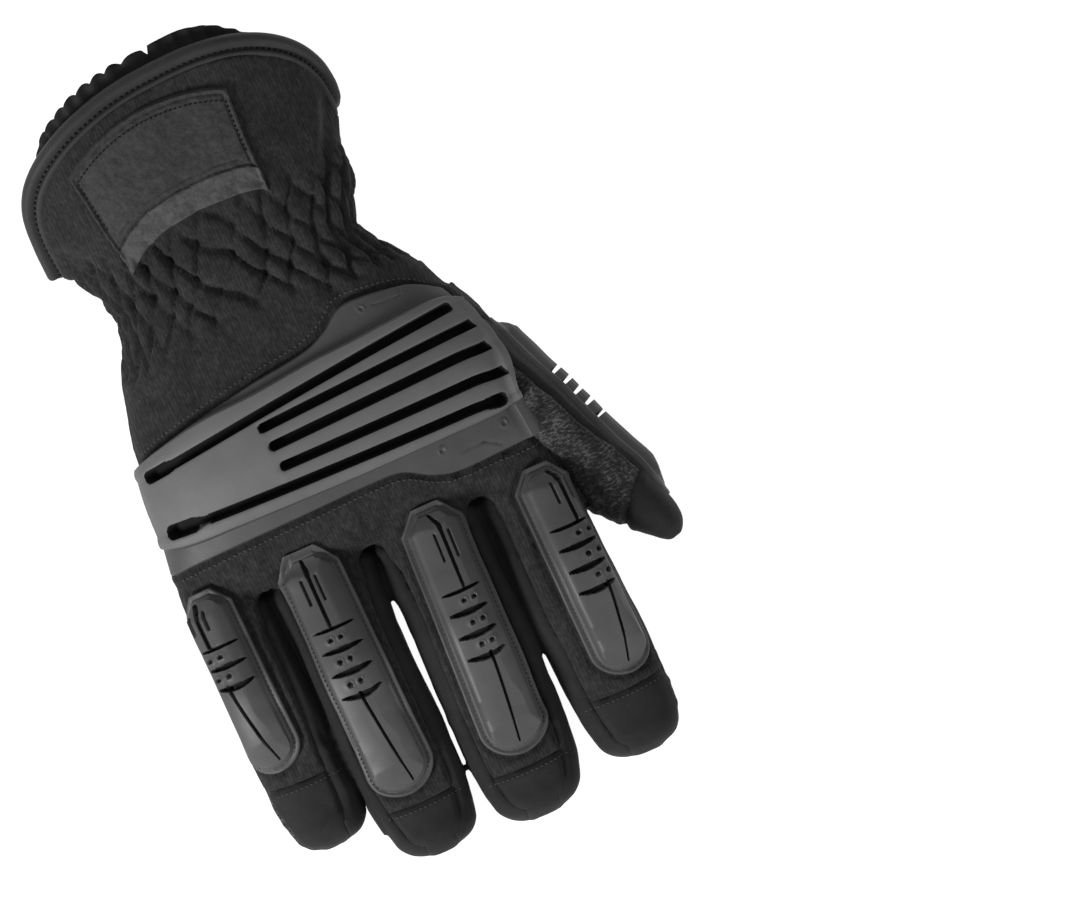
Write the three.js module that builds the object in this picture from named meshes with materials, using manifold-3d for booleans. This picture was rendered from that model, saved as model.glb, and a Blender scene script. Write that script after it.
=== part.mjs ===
// Right-hand rescue glove lying palm down: cloth back, textured palm, side strips between the
// fingers, gathered wrist, flared cuff with a round bound edge and a gathered lining, and moulded
// rubber guards over the knuckles, the four fingers and the thumb.
//
// Millimetres. +X points to the little finger's side, +Y to the fingertips, +Z out of the back of
// the hand. The origin is the middle of the flat place under the palm on which the glove rests.
import * as THREE from "three";
import { mergeVertices } from "three/addons/utils/BufferGeometryUtils.js";
import Module from "manifold-3d";

// Cloth and clearances
const clothWall = 2.2;
const liningWall = 1.2;
const seamGap = 0.3;
const guardGap = 0.5;
const bindingGap = 0.5;
const liningGap = 0.8;

// Cuff and hand
const cuffLength = 34;
const wristToPalm = 56;
const palmToWeb = 36;
const mouthWidth = 99;
const mouthHeight = 57;
const wristWidth = 79;
const wristHeight = 45;
const palmWidth = 115;
const palmHeight = 45;
const webWidth = 120;
const webHeight = 33;
const mouthShift = 8.5;
const wristShift = 5.5;
const mouthSlant = 5.5;
const backLobe = 26;
const palmLobe = 6;
const webShift = 2;

// Edge binding, lining, gathers and patch
const bindingDiameter = 6.2;
const liningDepth = 24;
const liningReach = 6.5;
const scallopDepth = 0.8;
const scallopCount = 26;
const gatherDepth = 1.3;
const gatherCount = 16;
const gatherPitch = 6;
const patchLeft = -0.42;
const patchRight = 0.68;
const patchLength = 20;
const patchMargin = 0.12;
const patchThickness = 1.3;
const patchBand = 8;

// Fingers: place is a share of the web's half width, lean is how far the tip stands to one side,
// and roll turns the guard round the finger, in degrees.
const fingers = [
  { name: "index", place: -0.795, lean: -1.8, length: 90, width: 29, height: 25, roll: 20 },
  { name: "middle", place: -0.277, lean: 2.8, length: 95, width: 32, height: 26, roll: 3 },
  { name: "ring", place: 0.327, lean: -1.2, length: 93, width: 30, height: 26, roll: -6 },
  { name: "little", place: 0.81, lean: -2.4, length: 78, width: 24.4, height: 23, roll: -24 },
];
const fingerArch = 4;
const sideStripHeight = 10;
const sideStripDepth = 7;
const capLength = { index: 19, middle: 15, ring: 16, little: 21 };

// Thumb
const thumbLength = 100;
const thumbWidth = 27.5;
const thumbThickness = 22;
const thumbYaw = 22;
const thumbBend = -14;
const thumbRoll = 4;

// Moulded guards
const flangeThickness = 1.4;
const knuckleGuardHeight = 4.6;
const slotWidth = 2.7;
const slotFloor = 1.4;
const fingerGuardWidth = { index: 18, middle: 19.5, ring: 19.5, little: 17 };
const fingerGuardHeight = 3.6;
const thumbGuardWidth = 18;
const guardFlange = 2.6;
const grooveWidth = 1.3;
const grooveDepth = 1.7;

const wasm = await Module();
wasm.setup();

// Solids

function toSolid(geometry) {
  const bare = geometry.index ? geometry.toNonIndexed() : geometry.clone();
  bare.deleteAttribute("normal");
  bare.deleteAttribute("uv");
  const merged = mergeVertices(bare, 1e-4);
  return new wasm.Manifold(
    new wasm.Mesh({
      numProp: 3,
      vertProperties: new Float32Array(merged.attributes.position.array),
      triVerts: new Uint32Array(merged.index.array),
    }),
  );
}

function toGeometry(solid) {
  const mesh = solid.getMesh();
  const flat = new Float32Array(mesh.numVert * 3);
  for (let i = 0; i < mesh.numVert; i++) {
    flat.set(mesh.vertProperties.subarray(i * mesh.numProp, i * mesh.numProp + 3), i * 3);
  }
  const geometry = new THREE.BufferGeometry();
  geometry.setAttribute("position", new THREE.BufferAttribute(flat, 3));
  geometry.setIndex(new THREE.BufferAttribute(new Uint32Array(mesh.triVerts), 1));
  geometry.computeVertexNormals();
  return geometry;
}

// The largest body of a solid: a cut can leave a crumb beside the piece that is wanted.
function mainBody(solid) {
  return solid.decompose().reduce((best, body) => (body.volume() > best.volume() ? body : best));
}

// A closed solid through rings of equal length: open ended with caps, or joined end to end.
function loft(rings, joined = false) {
  const n = rings[0].length;
  const corners = rings.flat();
  const faces = [];
  const spans = joined ? rings.length : rings.length - 1;
  for (let r = 0; r < spans; r++) {
    const a = r * n;
    const b = ((r + 1) % rings.length) * n;
    for (let i = 0; i < n; i++) {
      const j = (i + 1) % n;
      faces.push(a + i, a + j, b + j, a + i, b + j, b + i);
    }
  }
  if (!joined) {
    for (const [start, turned] of [[0, true], [(rings.length - 1) * n, false]]) {
      const middle = new THREE.Vector3();
      for (let i = 0; i < n; i++) {
        middle.addScaledVector(corners[start + i], 1 / n);
      }
      corners.push(middle);
      for (let i = 0; i < n; i++) {
        const j = (i + 1) % n;
        if (turned) faces.push(corners.length - 1, start + j, start + i);
        else faces.push(corners.length - 1, start + i, start + j);
      }
    }
  }
  const geometry = new THREE.BufferGeometry().setFromPoints(corners);
  geometry.setIndex(faces);
  const solid = toSolid(geometry);
  if (solid.volume() > 0) return solid;
  const turned = [];
  for (let i = 0; i < faces.length; i += 3) {
    turned.push(faces[i], faces[i + 2], faces[i + 1]);
  }
  geometry.setIndex(turned);
  return toSolid(geometry);
}

function joinAll(solids) {
  return solids.reduce((all, one) => all.add(one));
}

// Everything above a level, as one large block.
function blockAbove(level) {
  const size = 800;
  const block = new THREE.BoxGeometry(size, size, size);
  block.translate(0, 0, level + size / 2);
  return toSolid(block);
}

// Curves through the rows of a table

function smooth(rows, key, at, by) {
  const last = rows.length - 1;
  if (at <= rows[0][by]) return rows[0][key];
  if (at >= rows[last][by]) return rows[last][key];
  let i = 0;
  while (rows[i + 1][by] < at) i++;
  const slope = (a, b) => (rows[b][key] - rows[a][key]) / (rows[b][by] - rows[a][by]);
  const step = rows[i + 1][by] - rows[i][by];
  const m0 = i > 0 ? slope(i - 1, i + 1) : slope(0, 1);
  const m1 = i + 1 < last ? slope(i, i + 2) : slope(last - 1, last);
  const t = (at - rows[i][by]) / step;
  const [p0, p1] = [rows[i][key], rows[i + 1][key]];
  return (
    (2 * t ** 3 - 3 * t ** 2 + 1) * p0 +
    (t ** 3 - 2 * t ** 2 + t) * step * m0 +
    (-2 * t ** 3 + 3 * t ** 2) * p1 +
    (t ** 3 - t ** 2) * step * m1
  );
}

const rounded = (v, power) => Math.sign(v) * Math.abs(v) ** (2 / power);

// Hand and cuff: one tube of oval sections. Level is the height of the widest place.

const mouthY = -(wristToPalm + cuffLength);
const bodySections = [
  {
    y: mouthY,
    shift: mouthShift,
    wide: mouthWidth / 2,
    level: mouthHeight * 0.53,
    up: mouthHeight * 0.51,
    down: mouthHeight * 0.49,
  },
  {
    y: mouthY + cuffLength * 0.38,
    shift: mouthShift * 0.8 + wristShift * 0.2,
    wide: mouthWidth * 0.33 + wristWidth * 0.15,
    level: mouthHeight * 0.51,
    up: mouthHeight * 0.47,
    down: mouthHeight * 0.46,
  },
  {
    y: -wristToPalm,
    shift: wristShift,
    wide: wristWidth / 2,
    level: wristHeight * 0.55,
    up: wristHeight * 0.5,
    down: wristHeight * 0.5,
  },
  {
    y: -wristToPalm * 0.6,
    shift: wristShift * 0.6,
    wide: wristWidth * 0.26 + palmWidth * 0.25,
    level: palmHeight * 0.48,
    up: palmHeight * 0.49,
    down: palmHeight * 0.5,
  },
  {
    y: -wristToPalm * 0.3,
    shift: wristShift * 0.3,
    wide: palmWidth * 0.475,
    level: palmHeight * 0.47,
    up: palmHeight * 0.5,
    down: palmHeight * 0.52,
  },
  {
    y: 0,
    shift: webShift * 0.25,
    wide: palmWidth / 2,
    level: palmHeight * 0.46,
    up: palmHeight * 0.49,
    down: palmHeight * 0.51,
  },
  {
    y: palmToWeb * 0.55,
    shift: webShift * 0.5,
    wide: webWidth * 0.49,
    level: webHeight * 0.58,
    up: webHeight * 0.57,
    down: webHeight * 0.6,
  },
  {
    y: palmToWeb * 0.87,
    shift: webShift,
    wide: webWidth * 0.498,
    level: webHeight * 0.54,
    up: webHeight * 0.46,
    down: webHeight * 0.5,
  },
  {
    y: palmToWeb,
    shift: webShift,
    wide: webWidth * 0.48,
    level: webHeight * 0.54,
    up: webHeight * 0.34,
    down: webHeight * 0.36,
  },
];
const bodyPower = 2.35;

// How far along the cuff a place is: 0 at the wrist and 1 at the mouth.
const cuffShare = (y) => Math.min(1, Math.max(0, (-wristToPalm - y) / cuffLength));

// The cuff's sections lean and bulge towards its mouth, more so on the back of the hand.
function lean(y, angle) {
  const [c, s] = [Math.cos(angle), Math.sin(angle)];
  const bulge = s > 0 ? backLobe * s ** 1.2 : palmLobe * (-s) ** 1.2;
  return cuffShare(y) ** 1.5 * (mouthSlant * c - bulge);
}

// Crossing rows of gathers round the wrist: each row is half a gather on from the last.
const gatherRows = 4;
function gather(y, angle) {
  const row = (y + wristToPalm) / gatherPitch;
  if (Math.abs(row) > gatherRows / 2 + 1) return 0;
  const fade = Math.max(0, 1 - (Math.abs(row) / (gatherRows / 2 + 1)) ** 2);
  return gatherDepth * fade * Math.cos(gatherCount * angle) * Math.cos(Math.PI * row);
}

function bodyPoint(y, angle, inset = 0, gathered = false) {
  const at = (key) => smooth(bodySections, key, y, "y");
  const [c, s] = [Math.cos(angle), Math.sin(angle)];
  const extra = (gathered ? gather(y, angle) : 0) - inset;
  return new THREE.Vector3(
    at("shift") + (at("wide") + extra) * rounded(c, bodyPower),
    y + lean(y, angle),
    at("level") + ((s > 0 ? at("up") : at("down")) + extra) * rounded(s, bodyPower),
  );
}

// Even steps round a full turn, each worked out from its angle.
function around(count, make) {
  return Array.from({ length: count }, (_, i) => make((2 * Math.PI * i) / count));
}

function bodyRing(y, count, inset, gathered) {
  return around(count, (angle) => bodyPoint(y, angle, inset, gathered));
}

const gatherStations = Array.from(
  { length: gatherRows + 1 },
  (_, i) => -wristToPalm + (i - gatherRows / 2) * gatherPitch,
);
const bodyStations = [
  mouthY,
  mouthY + cuffLength * 0.3,
  ...gatherStations,
  -wristToPalm * 0.6,
  -wristToPalm * 0.3,
  0,
  palmToWeb * 0.55,
  palmToWeb * 0.87,
  palmToWeb,
];
const roundCount = 40;
const innerCount = 20;

const mouthRing = bodyRing(mouthY, roundCount, clothWall * 2, false);
const outerRings = (gap) => bodyStations.map((y) => bodyRing(y, roundCount, -gap, true));
const bodyGrown = (gap) => loft([mouthRing, ...outerRings(gap)]);

function bodyInner() {
  const overshoot = mouthHeight * 0.15;
  const wall = clothWall + gatherDepth * 0.35;
  const rings = bodyStations
    .filter((y) => y < palmToWeb * 0.86)
    .map((y) => bodyRing(y, innerCount, y > -wristToPalm * 0.5 ? clothWall : wall, false));
  const outside = bodyRing(mouthY, innerCount, wall, false).map((p) => p.setY(p.y - overshoot));
  const end = bodyRing(palmToWeb, innerCount, clothWall, false).map((p) => p.setY(p.y - clothWall));
  return loft([outside, ...rings, end]);
}

// Fingers and thumb: tubes with a round end. Wide and thick are shares of the finger's own size.

const fingerSections = [
  { along: -0.2, wide: 0.86, thick: 0.9, lift: -0.2 },
  { along: 0.08, wide: 0.92, thick: 0.98, lift: 0.35 },
  { along: 0.3, wide: 0.95, thick: 1, lift: 1 },
  { along: 0.52, wide: 1, thick: 0.98, lift: 0.9 },
  { along: 0.72, wide: 1.02, thick: 0.94, lift: 0.2 },
  { along: 0.86, wide: 0.97, thick: 0.91, lift: 0 },
  { along: 0.93, wide: 0.84, thick: 0.86, lift: 0 },
  { along: 0.975, wide: 0.62, thick: 0.7, lift: 0 },
  { along: 1, wide: 0.26, thick: 0.4, lift: 0 },
];
const fingerPower = 2.3;
const innerEnd = 0.965;
const tipLevel = (finger) => finger.height * 0.43;

function fingerCentre(finger, along) {
  const lift = smooth(fingerSections, "lift", along, "along");
  const sink = Math.min(1, Math.max(0, (along - 0.3) / 0.6));
  const fall = sink * sink * (3 - 2 * sink);
  const base = webHeight * 0.37 + finger.height * 0.26 + fingerArch * lift;
  return new THREE.Vector3(
    webShift + (finger.place * webWidth) / 2 + finger.lean * Math.max(0, along),
    palmToWeb + finger.length * along,
    base * (1 - fall) + tipLevel(finger) * fall,
  );
}

function fingerPoint(finger, along, angle, inset = 0) {
  const at = (key) => smooth(fingerSections, key, along, "along");
  const centre = fingerCentre(finger, along);
  centre.x += ((at("wide") * finger.width) / 2 - inset) * rounded(Math.cos(angle), fingerPower);
  centre.z += ((at("thick") * finger.height) / 2 - inset) * rounded(Math.sin(angle), fingerPower);
  return centre;
}

function fingerTube(finger, count, inset) {
  const rows = fingerSections.map((row) => row.along);
  const inner = [...rows.filter((along) => along < 0.9), innerEnd - clothWall / finger.length];
  const stations = inset > 0 ? inner : rows;
  return loft(stations.map((along) => around(count, (angle) => fingerPoint(finger, along, angle, inset))));
}

const thumbSections = [
  { along: 0, wide: 1.1, thick: 1.1, out: 0 },
  { along: 0.25, wide: 1.12, thick: 1.02, out: 0 },
  { along: 0.45, wide: 1.06, thick: 1, out: 0 },
  { along: 0.65, wide: 1, thick: 1, out: 0 },
  { along: 0.8, wide: 0.95, thick: 0.88, out: 0.06 },
  { along: 0.9, wide: 0.84, thick: 0.68, out: 0.14 },
  { along: 0.97, wide: 0.6, thick: 0.44, out: 0.2 },
  { along: 1, wide: 0.24, thick: 0.2, out: 0.2 },
];
const thumbBase = new THREE.Vector3(-palmWidth * 0.348, -wristToPalm * 0.36, palmHeight * 0.42);

function thumbFrame(along) {
  const yaw = THREE.MathUtils.degToRad(thumbYaw + thumbBend * (along - 0.5));
  const forward = new THREE.Vector3(-Math.sin(yaw), Math.cos(yaw), 0);
  const roll = THREE.MathUtils.degToRad(thumbRoll);
  const side = new THREE.Vector3(-Math.cos(yaw), -Math.sin(yaw), 0);
  const out = side.multiplyScalar(Math.cos(roll)).add(new THREE.Vector3(0, 0, Math.sin(roll)));
  const up = new THREE.Vector3().crossVectors(out, forward).normalize();
  return { forward, out, up: up.z < 0 ? up.negate() : up };
}

function thumbCentre(along) {
  const centre = thumbBase.clone();
  const steps = 20;
  for (let i = 0; i < steps; i++) {
    const { forward } = thumbFrame((along * (i + 0.5)) / steps);
    centre.addScaledVector(forward, (thumbLength * along) / steps);
  }
  centre.z += (thumbWidth * 0.487 - thumbBase.z) * Math.min(1, along * 1.15);
  return centre;
}

// Angle 0 points out to the guard, a quarter turn points up.
function thumbPoint(along, angle, inset = 0) {
  const at = (key) => smooth(thumbSections, key, along, "along");
  const frame = thumbFrame(along);
  const out = ((at("thick") * thumbThickness) / 2 - inset) * rounded(Math.cos(angle), fingerPower);
  const up = ((at("wide") * thumbWidth) / 2 - inset) * rounded(Math.sin(angle), fingerPower);
  return thumbCentre(along)
    .addScaledVector(frame.out, at("out") * thumbThickness + out)
    .addScaledVector(frame.up, up);
}

function thumbTube(count, inset) {
  const rows = thumbSections.filter((row) => inset <= 0 || row.along < 0.95);
  return loft(rows.map((row) => around(count, (angle) => thumbPoint(row.along, angle, inset))));
}

// The shell of the hand, and the shell of the thumb that is sewn to it

const fingerCount = 14;
const fingerInnerCount = 8;
const aboveRest = blockAbove(0);
const aboveFloorCloth = blockAbove(clothWall);
const outerTubes = (gap) => fingers.map((finger) => fingerTube(finger, fingerCount, -gap));
const innerTubes = fingers.map((finger) => fingerTube(finger, fingerInnerCount, clothWall));
const handGrown = (gap) => joinAll([bodyGrown(gap), ...outerTubes(gap)]);
const handOuter = handGrown(0).intersect(aboveRest);
const handInner = joinAll([bodyInner(), ...innerTubes]).intersect(aboveFloorCloth);
const thumbInner = thumbTube(fingerInnerCount, clothWall).intersect(aboveFloorCloth);
const handShell = handOuter.subtract(handInner).subtract(thumbInner);
const thumbShell = mainBody(
  thumbTube(fingerCount, 0)
    .intersect(aboveRest)
    .subtract(handGrown(seamGap))
    .subtract(thumbInner)
    .subtract(handInner),
);

// Cutters along the seams

// The side seams' height along the hand, above which the cloth is the back's.
const seamRows = [
  { y: mouthY - backLobe * 2, level: mouthHeight * 0.53 },
  { y: mouthY, level: mouthHeight * 0.53 },
  { y: -wristToPalm, level: wristHeight * 0.55 },
  { y: -wristToPalm * 0.3, level: palmHeight * 0.45 },
  { y: palmToWeb * 0.5, level: palmHeight * 0.4 },
  { y: palmToWeb + fingers[1].length * 0.2, level: palmHeight * 0.4 },
  { y: palmToWeb + fingers[3].length * 0.7, level: tipLevel(fingers[3]) * 1.35 },
  { y: palmToWeb + fingers[1].length * 1.3, level: tipLevel(fingers[3]) * 1.1 },
];

// Everything above the side seams (side 1), or below them (side -1).
function seamBlock(side) {
  const far = 300;
  const half = (side * seamGap) / 2;
  const outline = new THREE.Shape();
  outline.moveTo(seamRows[0].y, side * far);
  for (const row of seamRows) {
    outline.lineTo(row.y, row.level + half);
  }
  outline.lineTo(seamRows[seamRows.length - 1].y, side * far);
  outline.closePath();
  const block = new THREE.ExtrudeGeometry(outline, { depth: 2 * far, bevelEnabled: false });
  const [x, y, z] = [0, 1, 2].map((axis) => new THREE.Vector3().setComponent(axis, 1));
  block.applyMatrix4(new THREE.Matrix4().makeBasis(y, z, x));
  block.translate(-far, 0, 0);
  return toSolid(block);
}

// The strip of finger sides between two fingers, from the middle of one to the middle of the next.
function sideBlock(a, b, extra) {
  const start = -sideStripDepth / a.length;
  const stations = [start - extra / a.length, 0.2, 0.45, 0.7, 1.2];
  const half = sideStripHeight / 2 + extra;
  const reach = 0.16;
  return loft(
    stations.map((along) => {
      const pa = fingerCentre(a, along);
      const pb = fingerCentre(b, (pa.y - palmToWeb) / b.length);
      const left = pa.x + a.width * reach - extra;
      const right = pb.x - b.width * reach + extra;
      return [
        new THREE.Vector3(left, pa.y, pa.z - half),
        new THREE.Vector3(right, pa.y, pb.z - half),
        new THREE.Vector3(right, pa.y, pb.z + half),
        new THREE.Vector3(left, pa.y, pa.z + half),
      ];
    }),
  );
}

const pairs = fingers.slice(1).map((finger, i) => [fingers[i], finger]);
const sideStrips = pairs.map(([a, b]) => ({
  name: `side_strip_${a.name}_${b.name}`,
  solid: mainBody(handShell.intersect(sideBlock(a, b, 0))),
}));
const stripCutters = pairs.map(([a, b]) => sideBlock(a, b, seamGap));
const withoutStrips = stripCutters.reduce((shell, cutter) => shell.subtract(cutter), handShell);
const upper = withoutStrips.intersect(seamBlock(1));
const lower = withoutStrips.intersect(seamBlock(-1));

// The cap over each fingertip's back starts this far from its tip.
function capBlock(finger, extra) {
  const start = palmToWeb + finger.length - capLength[finger.name] - extra;
  const [wide, deep, high] = [finger.width * 1.24 + 2 * extra, finger.length, finger.height * 3];
  const block = new THREE.BoxGeometry(wide, deep, high);
  block.translate(fingerCentre(finger, 1).x, start + deep / 2, 0);
  return toSolid(block);
}

const caps = fingers.map((finger) => ({
  name: `fingertip_${finger.name}`,
  solid: mainBody(upper.intersect(capBlock(finger, 0))),
}));
const capCutters = fingers.map((finger) => capBlock(finger, seamGap));
const backPanel = mainBody(capCutters.reduce((shell, cutter) => shell.subtract(cutter), upper));

// The palm's textured cloth ends at the wrist, where the smooth cuff cloth starts.
const palmSeamY = -wristToPalm * 0.66;
function palmEndBlock(side) {
  const size = 700;
  const block = new THREE.BoxGeometry(size, size, size);
  block.translate(0, palmSeamY + side * (size / 2 + seamGap / 2), 0);
  return toSolid(block);
}
const palmPanel = mainBody(lower.intersect(palmEndBlock(1)));
const cuffPalm = mainBody(lower.intersect(palmEndBlock(-1)));

// The thumb's smooth back strip, wider at the tip, and its textured inner side.
const thumbSeamRows = [
  { along: -0.1, offset: 0.16 },
  { along: 0.6, offset: 0.16 },
  { along: 0.8, offset: 0.05 },
  { along: 0.95, offset: -0.3 },
  { along: 1.1, offset: -0.4 },
];
function thumbBackBlock(extra) {
  const far = 40;
  return loft(
    thumbSeamRows.map((row) => {
      const frame = thumbFrame(row.along);
      const near = row.offset * thumbThickness - extra;
      const centre = thumbCentre(row.along);
      const corner = (out, up) =>
        centre.clone().addScaledVector(frame.out, out).addScaledVector(frame.up, up);
      return [corner(near, -far), corner(far, -far), corner(far, far), corner(near, far)];
    }),
  );
}
const thumbBack = mainBody(thumbShell.intersect(thumbBackBlock(0)));
const thumbPalm = mainBody(thumbShell.subtract(thumbBackBlock(seamGap)));

// Cuff edge

// The way the cuff's cloth runs out at its edge, and the way its face looks there.
function edgeFrame(angle) {
  const here = bodyPoint(mouthY, angle);
  const onward = here.clone().sub(bodyPoint(mouthY + 1, angle));
  const along = bodyPoint(mouthY, angle + 0.01).sub(bodyPoint(mouthY, angle - 0.01)).normalize();
  onward.addScaledVector(along, -onward.dot(along)).normalize();
  return { onward, outward: new THREE.Vector3().crossVectors(along, onward).normalize() };
}

function bindingSolid() {
  const sides = 6;
  const radius = bindingDiameter / 2;
  const rings = around(roundCount, (angle) => {
    const { onward, outward } = edgeFrame(angle);
    const centre = bodyPoint(mouthY, angle, clothWall / 2).addScaledVector(onward, radius + bindingGap);
    return around(sides, (turn) =>
      centre.clone()
        .addScaledVector(outward, radius * Math.sin(turn))
        .addScaledVector(onward, radius * Math.cos(turn)),
    );
  });
  return mainBody(loft(rings, true).intersect(aboveRest).subtract(bodyGrown(seamGap)));
}

// The lining's free edge is scalloped, and reaches past the binding on the back of the hand.
function liningEdge(angle) {
  const back = Math.max(0, Math.sin(angle)) ** 0.6;
  const wave = scallopDepth * Math.cos(scallopCount * angle);
  return bindingDiameter - scallopDepth * 2 + (liningReach + wave) * back;
}

function liningSolid() {
  const outside = clothWall / 2 + bindingDiameter / 2 + liningGap;
  const inside = outside + liningWall;
  const ringAt = (share, inset) =>
    around(scallopCount * 2, (angle) => {
      const wave = share > 0.5 ? liningGap * 0.5 * Math.cos(scallopCount * angle) : 0;
      const point = bodyPoint(mouthY + liningDepth * (1 - share), angle, inset - wave);
      if (share === 1) point.y -= liningEdge(angle);
      return point;
    });
  const outward = [0, 0.7, 1].map((share) => ringAt(share, outside));
  const back = [1, 0.7, 0].map((share) => ringAt(share, inside));
  return loft([...outward, ...back], true);
}

// Plates that lie on the cloth. They are made a little too deep, and then cut back by this bed.

const bed = handGrown(guardGap).add(thumbTube(fingerCount, -guardGap));
const bedDepth = -1.2;
const layOn = (plate) => mainBody(plate.subtract(bed));

// A place at a height off the hand's cloth.
function onBody(angle, along, height) {
  const step = 1e-3;
  const point = bodyPoint(along, angle);
  const dAngle = bodyPoint(along, angle + step).sub(point);
  const dAlong = bodyPoint(along + step, angle).sub(point);
  const normal = new THREE.Vector3().crossVectors(dAlong, dAngle).normalize();
  if (normal.dot(new THREE.Vector3(Math.cos(angle), 0, Math.sin(angle))) < 0) normal.negate();
  return point.addScaledVector(normal, height);
}

// The angle round the hand for a place across it, from -1 at the thumb's side to 1.
function angleOf(across) {
  const limit = Math.max(-0.995, Math.min(0.995, across));
  return Math.acos(Math.sign(limit) * Math.abs(limit) ** (bodyPower / 2));
}

// Knuckle guard: its edges and its ridge, as shares of the hand's half width and the web's length.
const knuckleRows = [
  { across: -0.99, low: -0.62, high: 0.7, ridgeLow: -0.5, ridgeHigh: 0.36 },
  { across: -0.9, low: -0.78, high: 0.72, ridgeLow: -0.62, ridgeHigh: 0.4 },
  { across: -0.8, low: -0.87, high: 0.73, ridgeLow: -0.63, ridgeHigh: 0.41 },
  { across: -0.52, low: -0.92, high: 0.735, ridgeLow: -0.62, ridgeHigh: 0.41 },
  { across: -0.4, low: -0.9, high: 0.68, ridgeLow: -0.61, ridgeHigh: 0.41 },
  { across: -0.26, low: -0.78, high: 0.56, ridgeLow: -0.6, ridgeHigh: 0.41 },
  { across: -0.1, low: -0.69, high: 0.54, ridgeLow: -0.59, ridgeHigh: 0.41 },
  { across: 0.26, low: -0.62, high: 0.55, ridgeLow: -0.54, ridgeHigh: 0.4 },
  { across: 0.6, low: -0.53, high: 0.56, ridgeLow: -0.46, ridgeHigh: 0.39 },
  { across: 0.86, low: -0.44, high: 0.57, ridgeLow: -0.37, ridgeHigh: 0.38 },
  { across: 1, low: -0.36, high: 0.58, ridgeLow: -0.29, ridgeHigh: 0.33 },
];

function knuckleGuardSolid() {
  const stations = 17;
  const rings = [];
  const [first, last] = [knuckleRows[0].across, knuckleRows[knuckleRows.length - 1].across];
  for (let i = 0; i < stations; i++) {
    const across = first + ((last - first) * (1 - Math.cos((Math.PI * i) / (stations - 1)))) / 2;
    const at = (key) => smooth(knuckleRows, key, across, "across") * palmToWeb;
    const angle = angleOf(across);
    const [base, flange] = [bedDepth, guardGap + flangeThickness];
    const end = Math.min(1, i / 1.5, (stations - 1 - i) / 1.5);
    const ridge = flange + (knuckleGuardHeight - flangeThickness) * Math.max(0, end);
    const bevel = 1.4;
    const [high, ridgeHigh, ridgeLow, low] = ["high", "ridgeHigh", "ridgeLow", "low"].map(at);
    const middle = (ridgeHigh + ridgeLow) / 2;
    const profile = [
      [high, base],
      [high, flange],
      [ridgeHigh + bevel, flange],
      [ridgeHigh, ridge],
      [middle, ridge],
      [ridgeLow, ridge],
      [ridgeLow - bevel, flange],
      [low, flange],
      [low, base],
      [ridgeLow, base],
      [middle, base],
      [ridgeHigh, base],
    ];
    rings.push(profile.map(([y, h]) => onBody(angle, y, h)));
  }
  return loft(rings);
}

// Slots in the knuckle guard, as shares of the hand's half width and the web's length.
const slotRows = [
  { from: -0.9, to: 0.95, start: 0.31, end: 0.235 },
  { from: -0.96, to: 0.33, start: 0.1, end: 0.09 },
  { from: -0.94, to: 0.34, start: -0.125, end: -0.085 },
  { from: -0.91, to: 0.35, start: -0.33, end: -0.25 },
  { from: -0.82, to: 0.96, start: -0.515, end: -0.25 },
];

function slotSolid(row) {
  const steps = Math.max(4, Math.round((row.to - row.from) * 6));
  const [floor, roof] = [guardGap + slotFloor, knuckleGuardHeight * 2];
  const rings = [];
  const ends = 2;
  for (let i = -ends; i <= steps + ends; i++) {
    const t = Math.min(1, Math.max(0, i / steps));
    const past = (Math.max(0, i - steps) - Math.max(0, -i)) / ends;
    const across = row.from + (row.to - row.from) * t + (past * slotWidth) / palmWidth;
    const sag = (t - 1) * t * 0.1 * (row.start - row.end);
    const y = palmToWeb * (row.start + (row.end - row.start) * t ** 1.4 + sag);
    const half = (slotWidth / 2) * Math.sqrt(1 - 0.86 * past * past);
    const corners = [[y - half, floor], [y + half, floor], [y + half, roof], [y - half, roof]];
    rings.push(corners.map(([at, height]) => onBody(angleOf(across), at, height)));
  }
  return loft(rings);
}

// Finger guards: half-widths along the guard as shares, with a chamfered start and a round end.
const guardRows = [
  { along: 0, wide: 0.36, body: 0 },
  { along: 0.05, wide: 0.7, body: 0 },
  { along: 0.1, wide: 0.98, body: 0.75 },
  { along: 0.14, wide: 1, body: 1 },
  { along: 0.5, wide: 0.97, body: 1 },
  { along: 0.8, wide: 0.93, body: 0.92 },
  { along: 0.91, wide: 0.84, body: 0.7 },
  { along: 0.97, wide: 0.6, body: 0 },
  { along: 1, wide: 0.3, body: 0 },
];
// Grooves across a guard, as shares of its length; the little finger's has one fewer.
const grooveShares = [0.33, 0.42, 0.51, 0.6];

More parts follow.
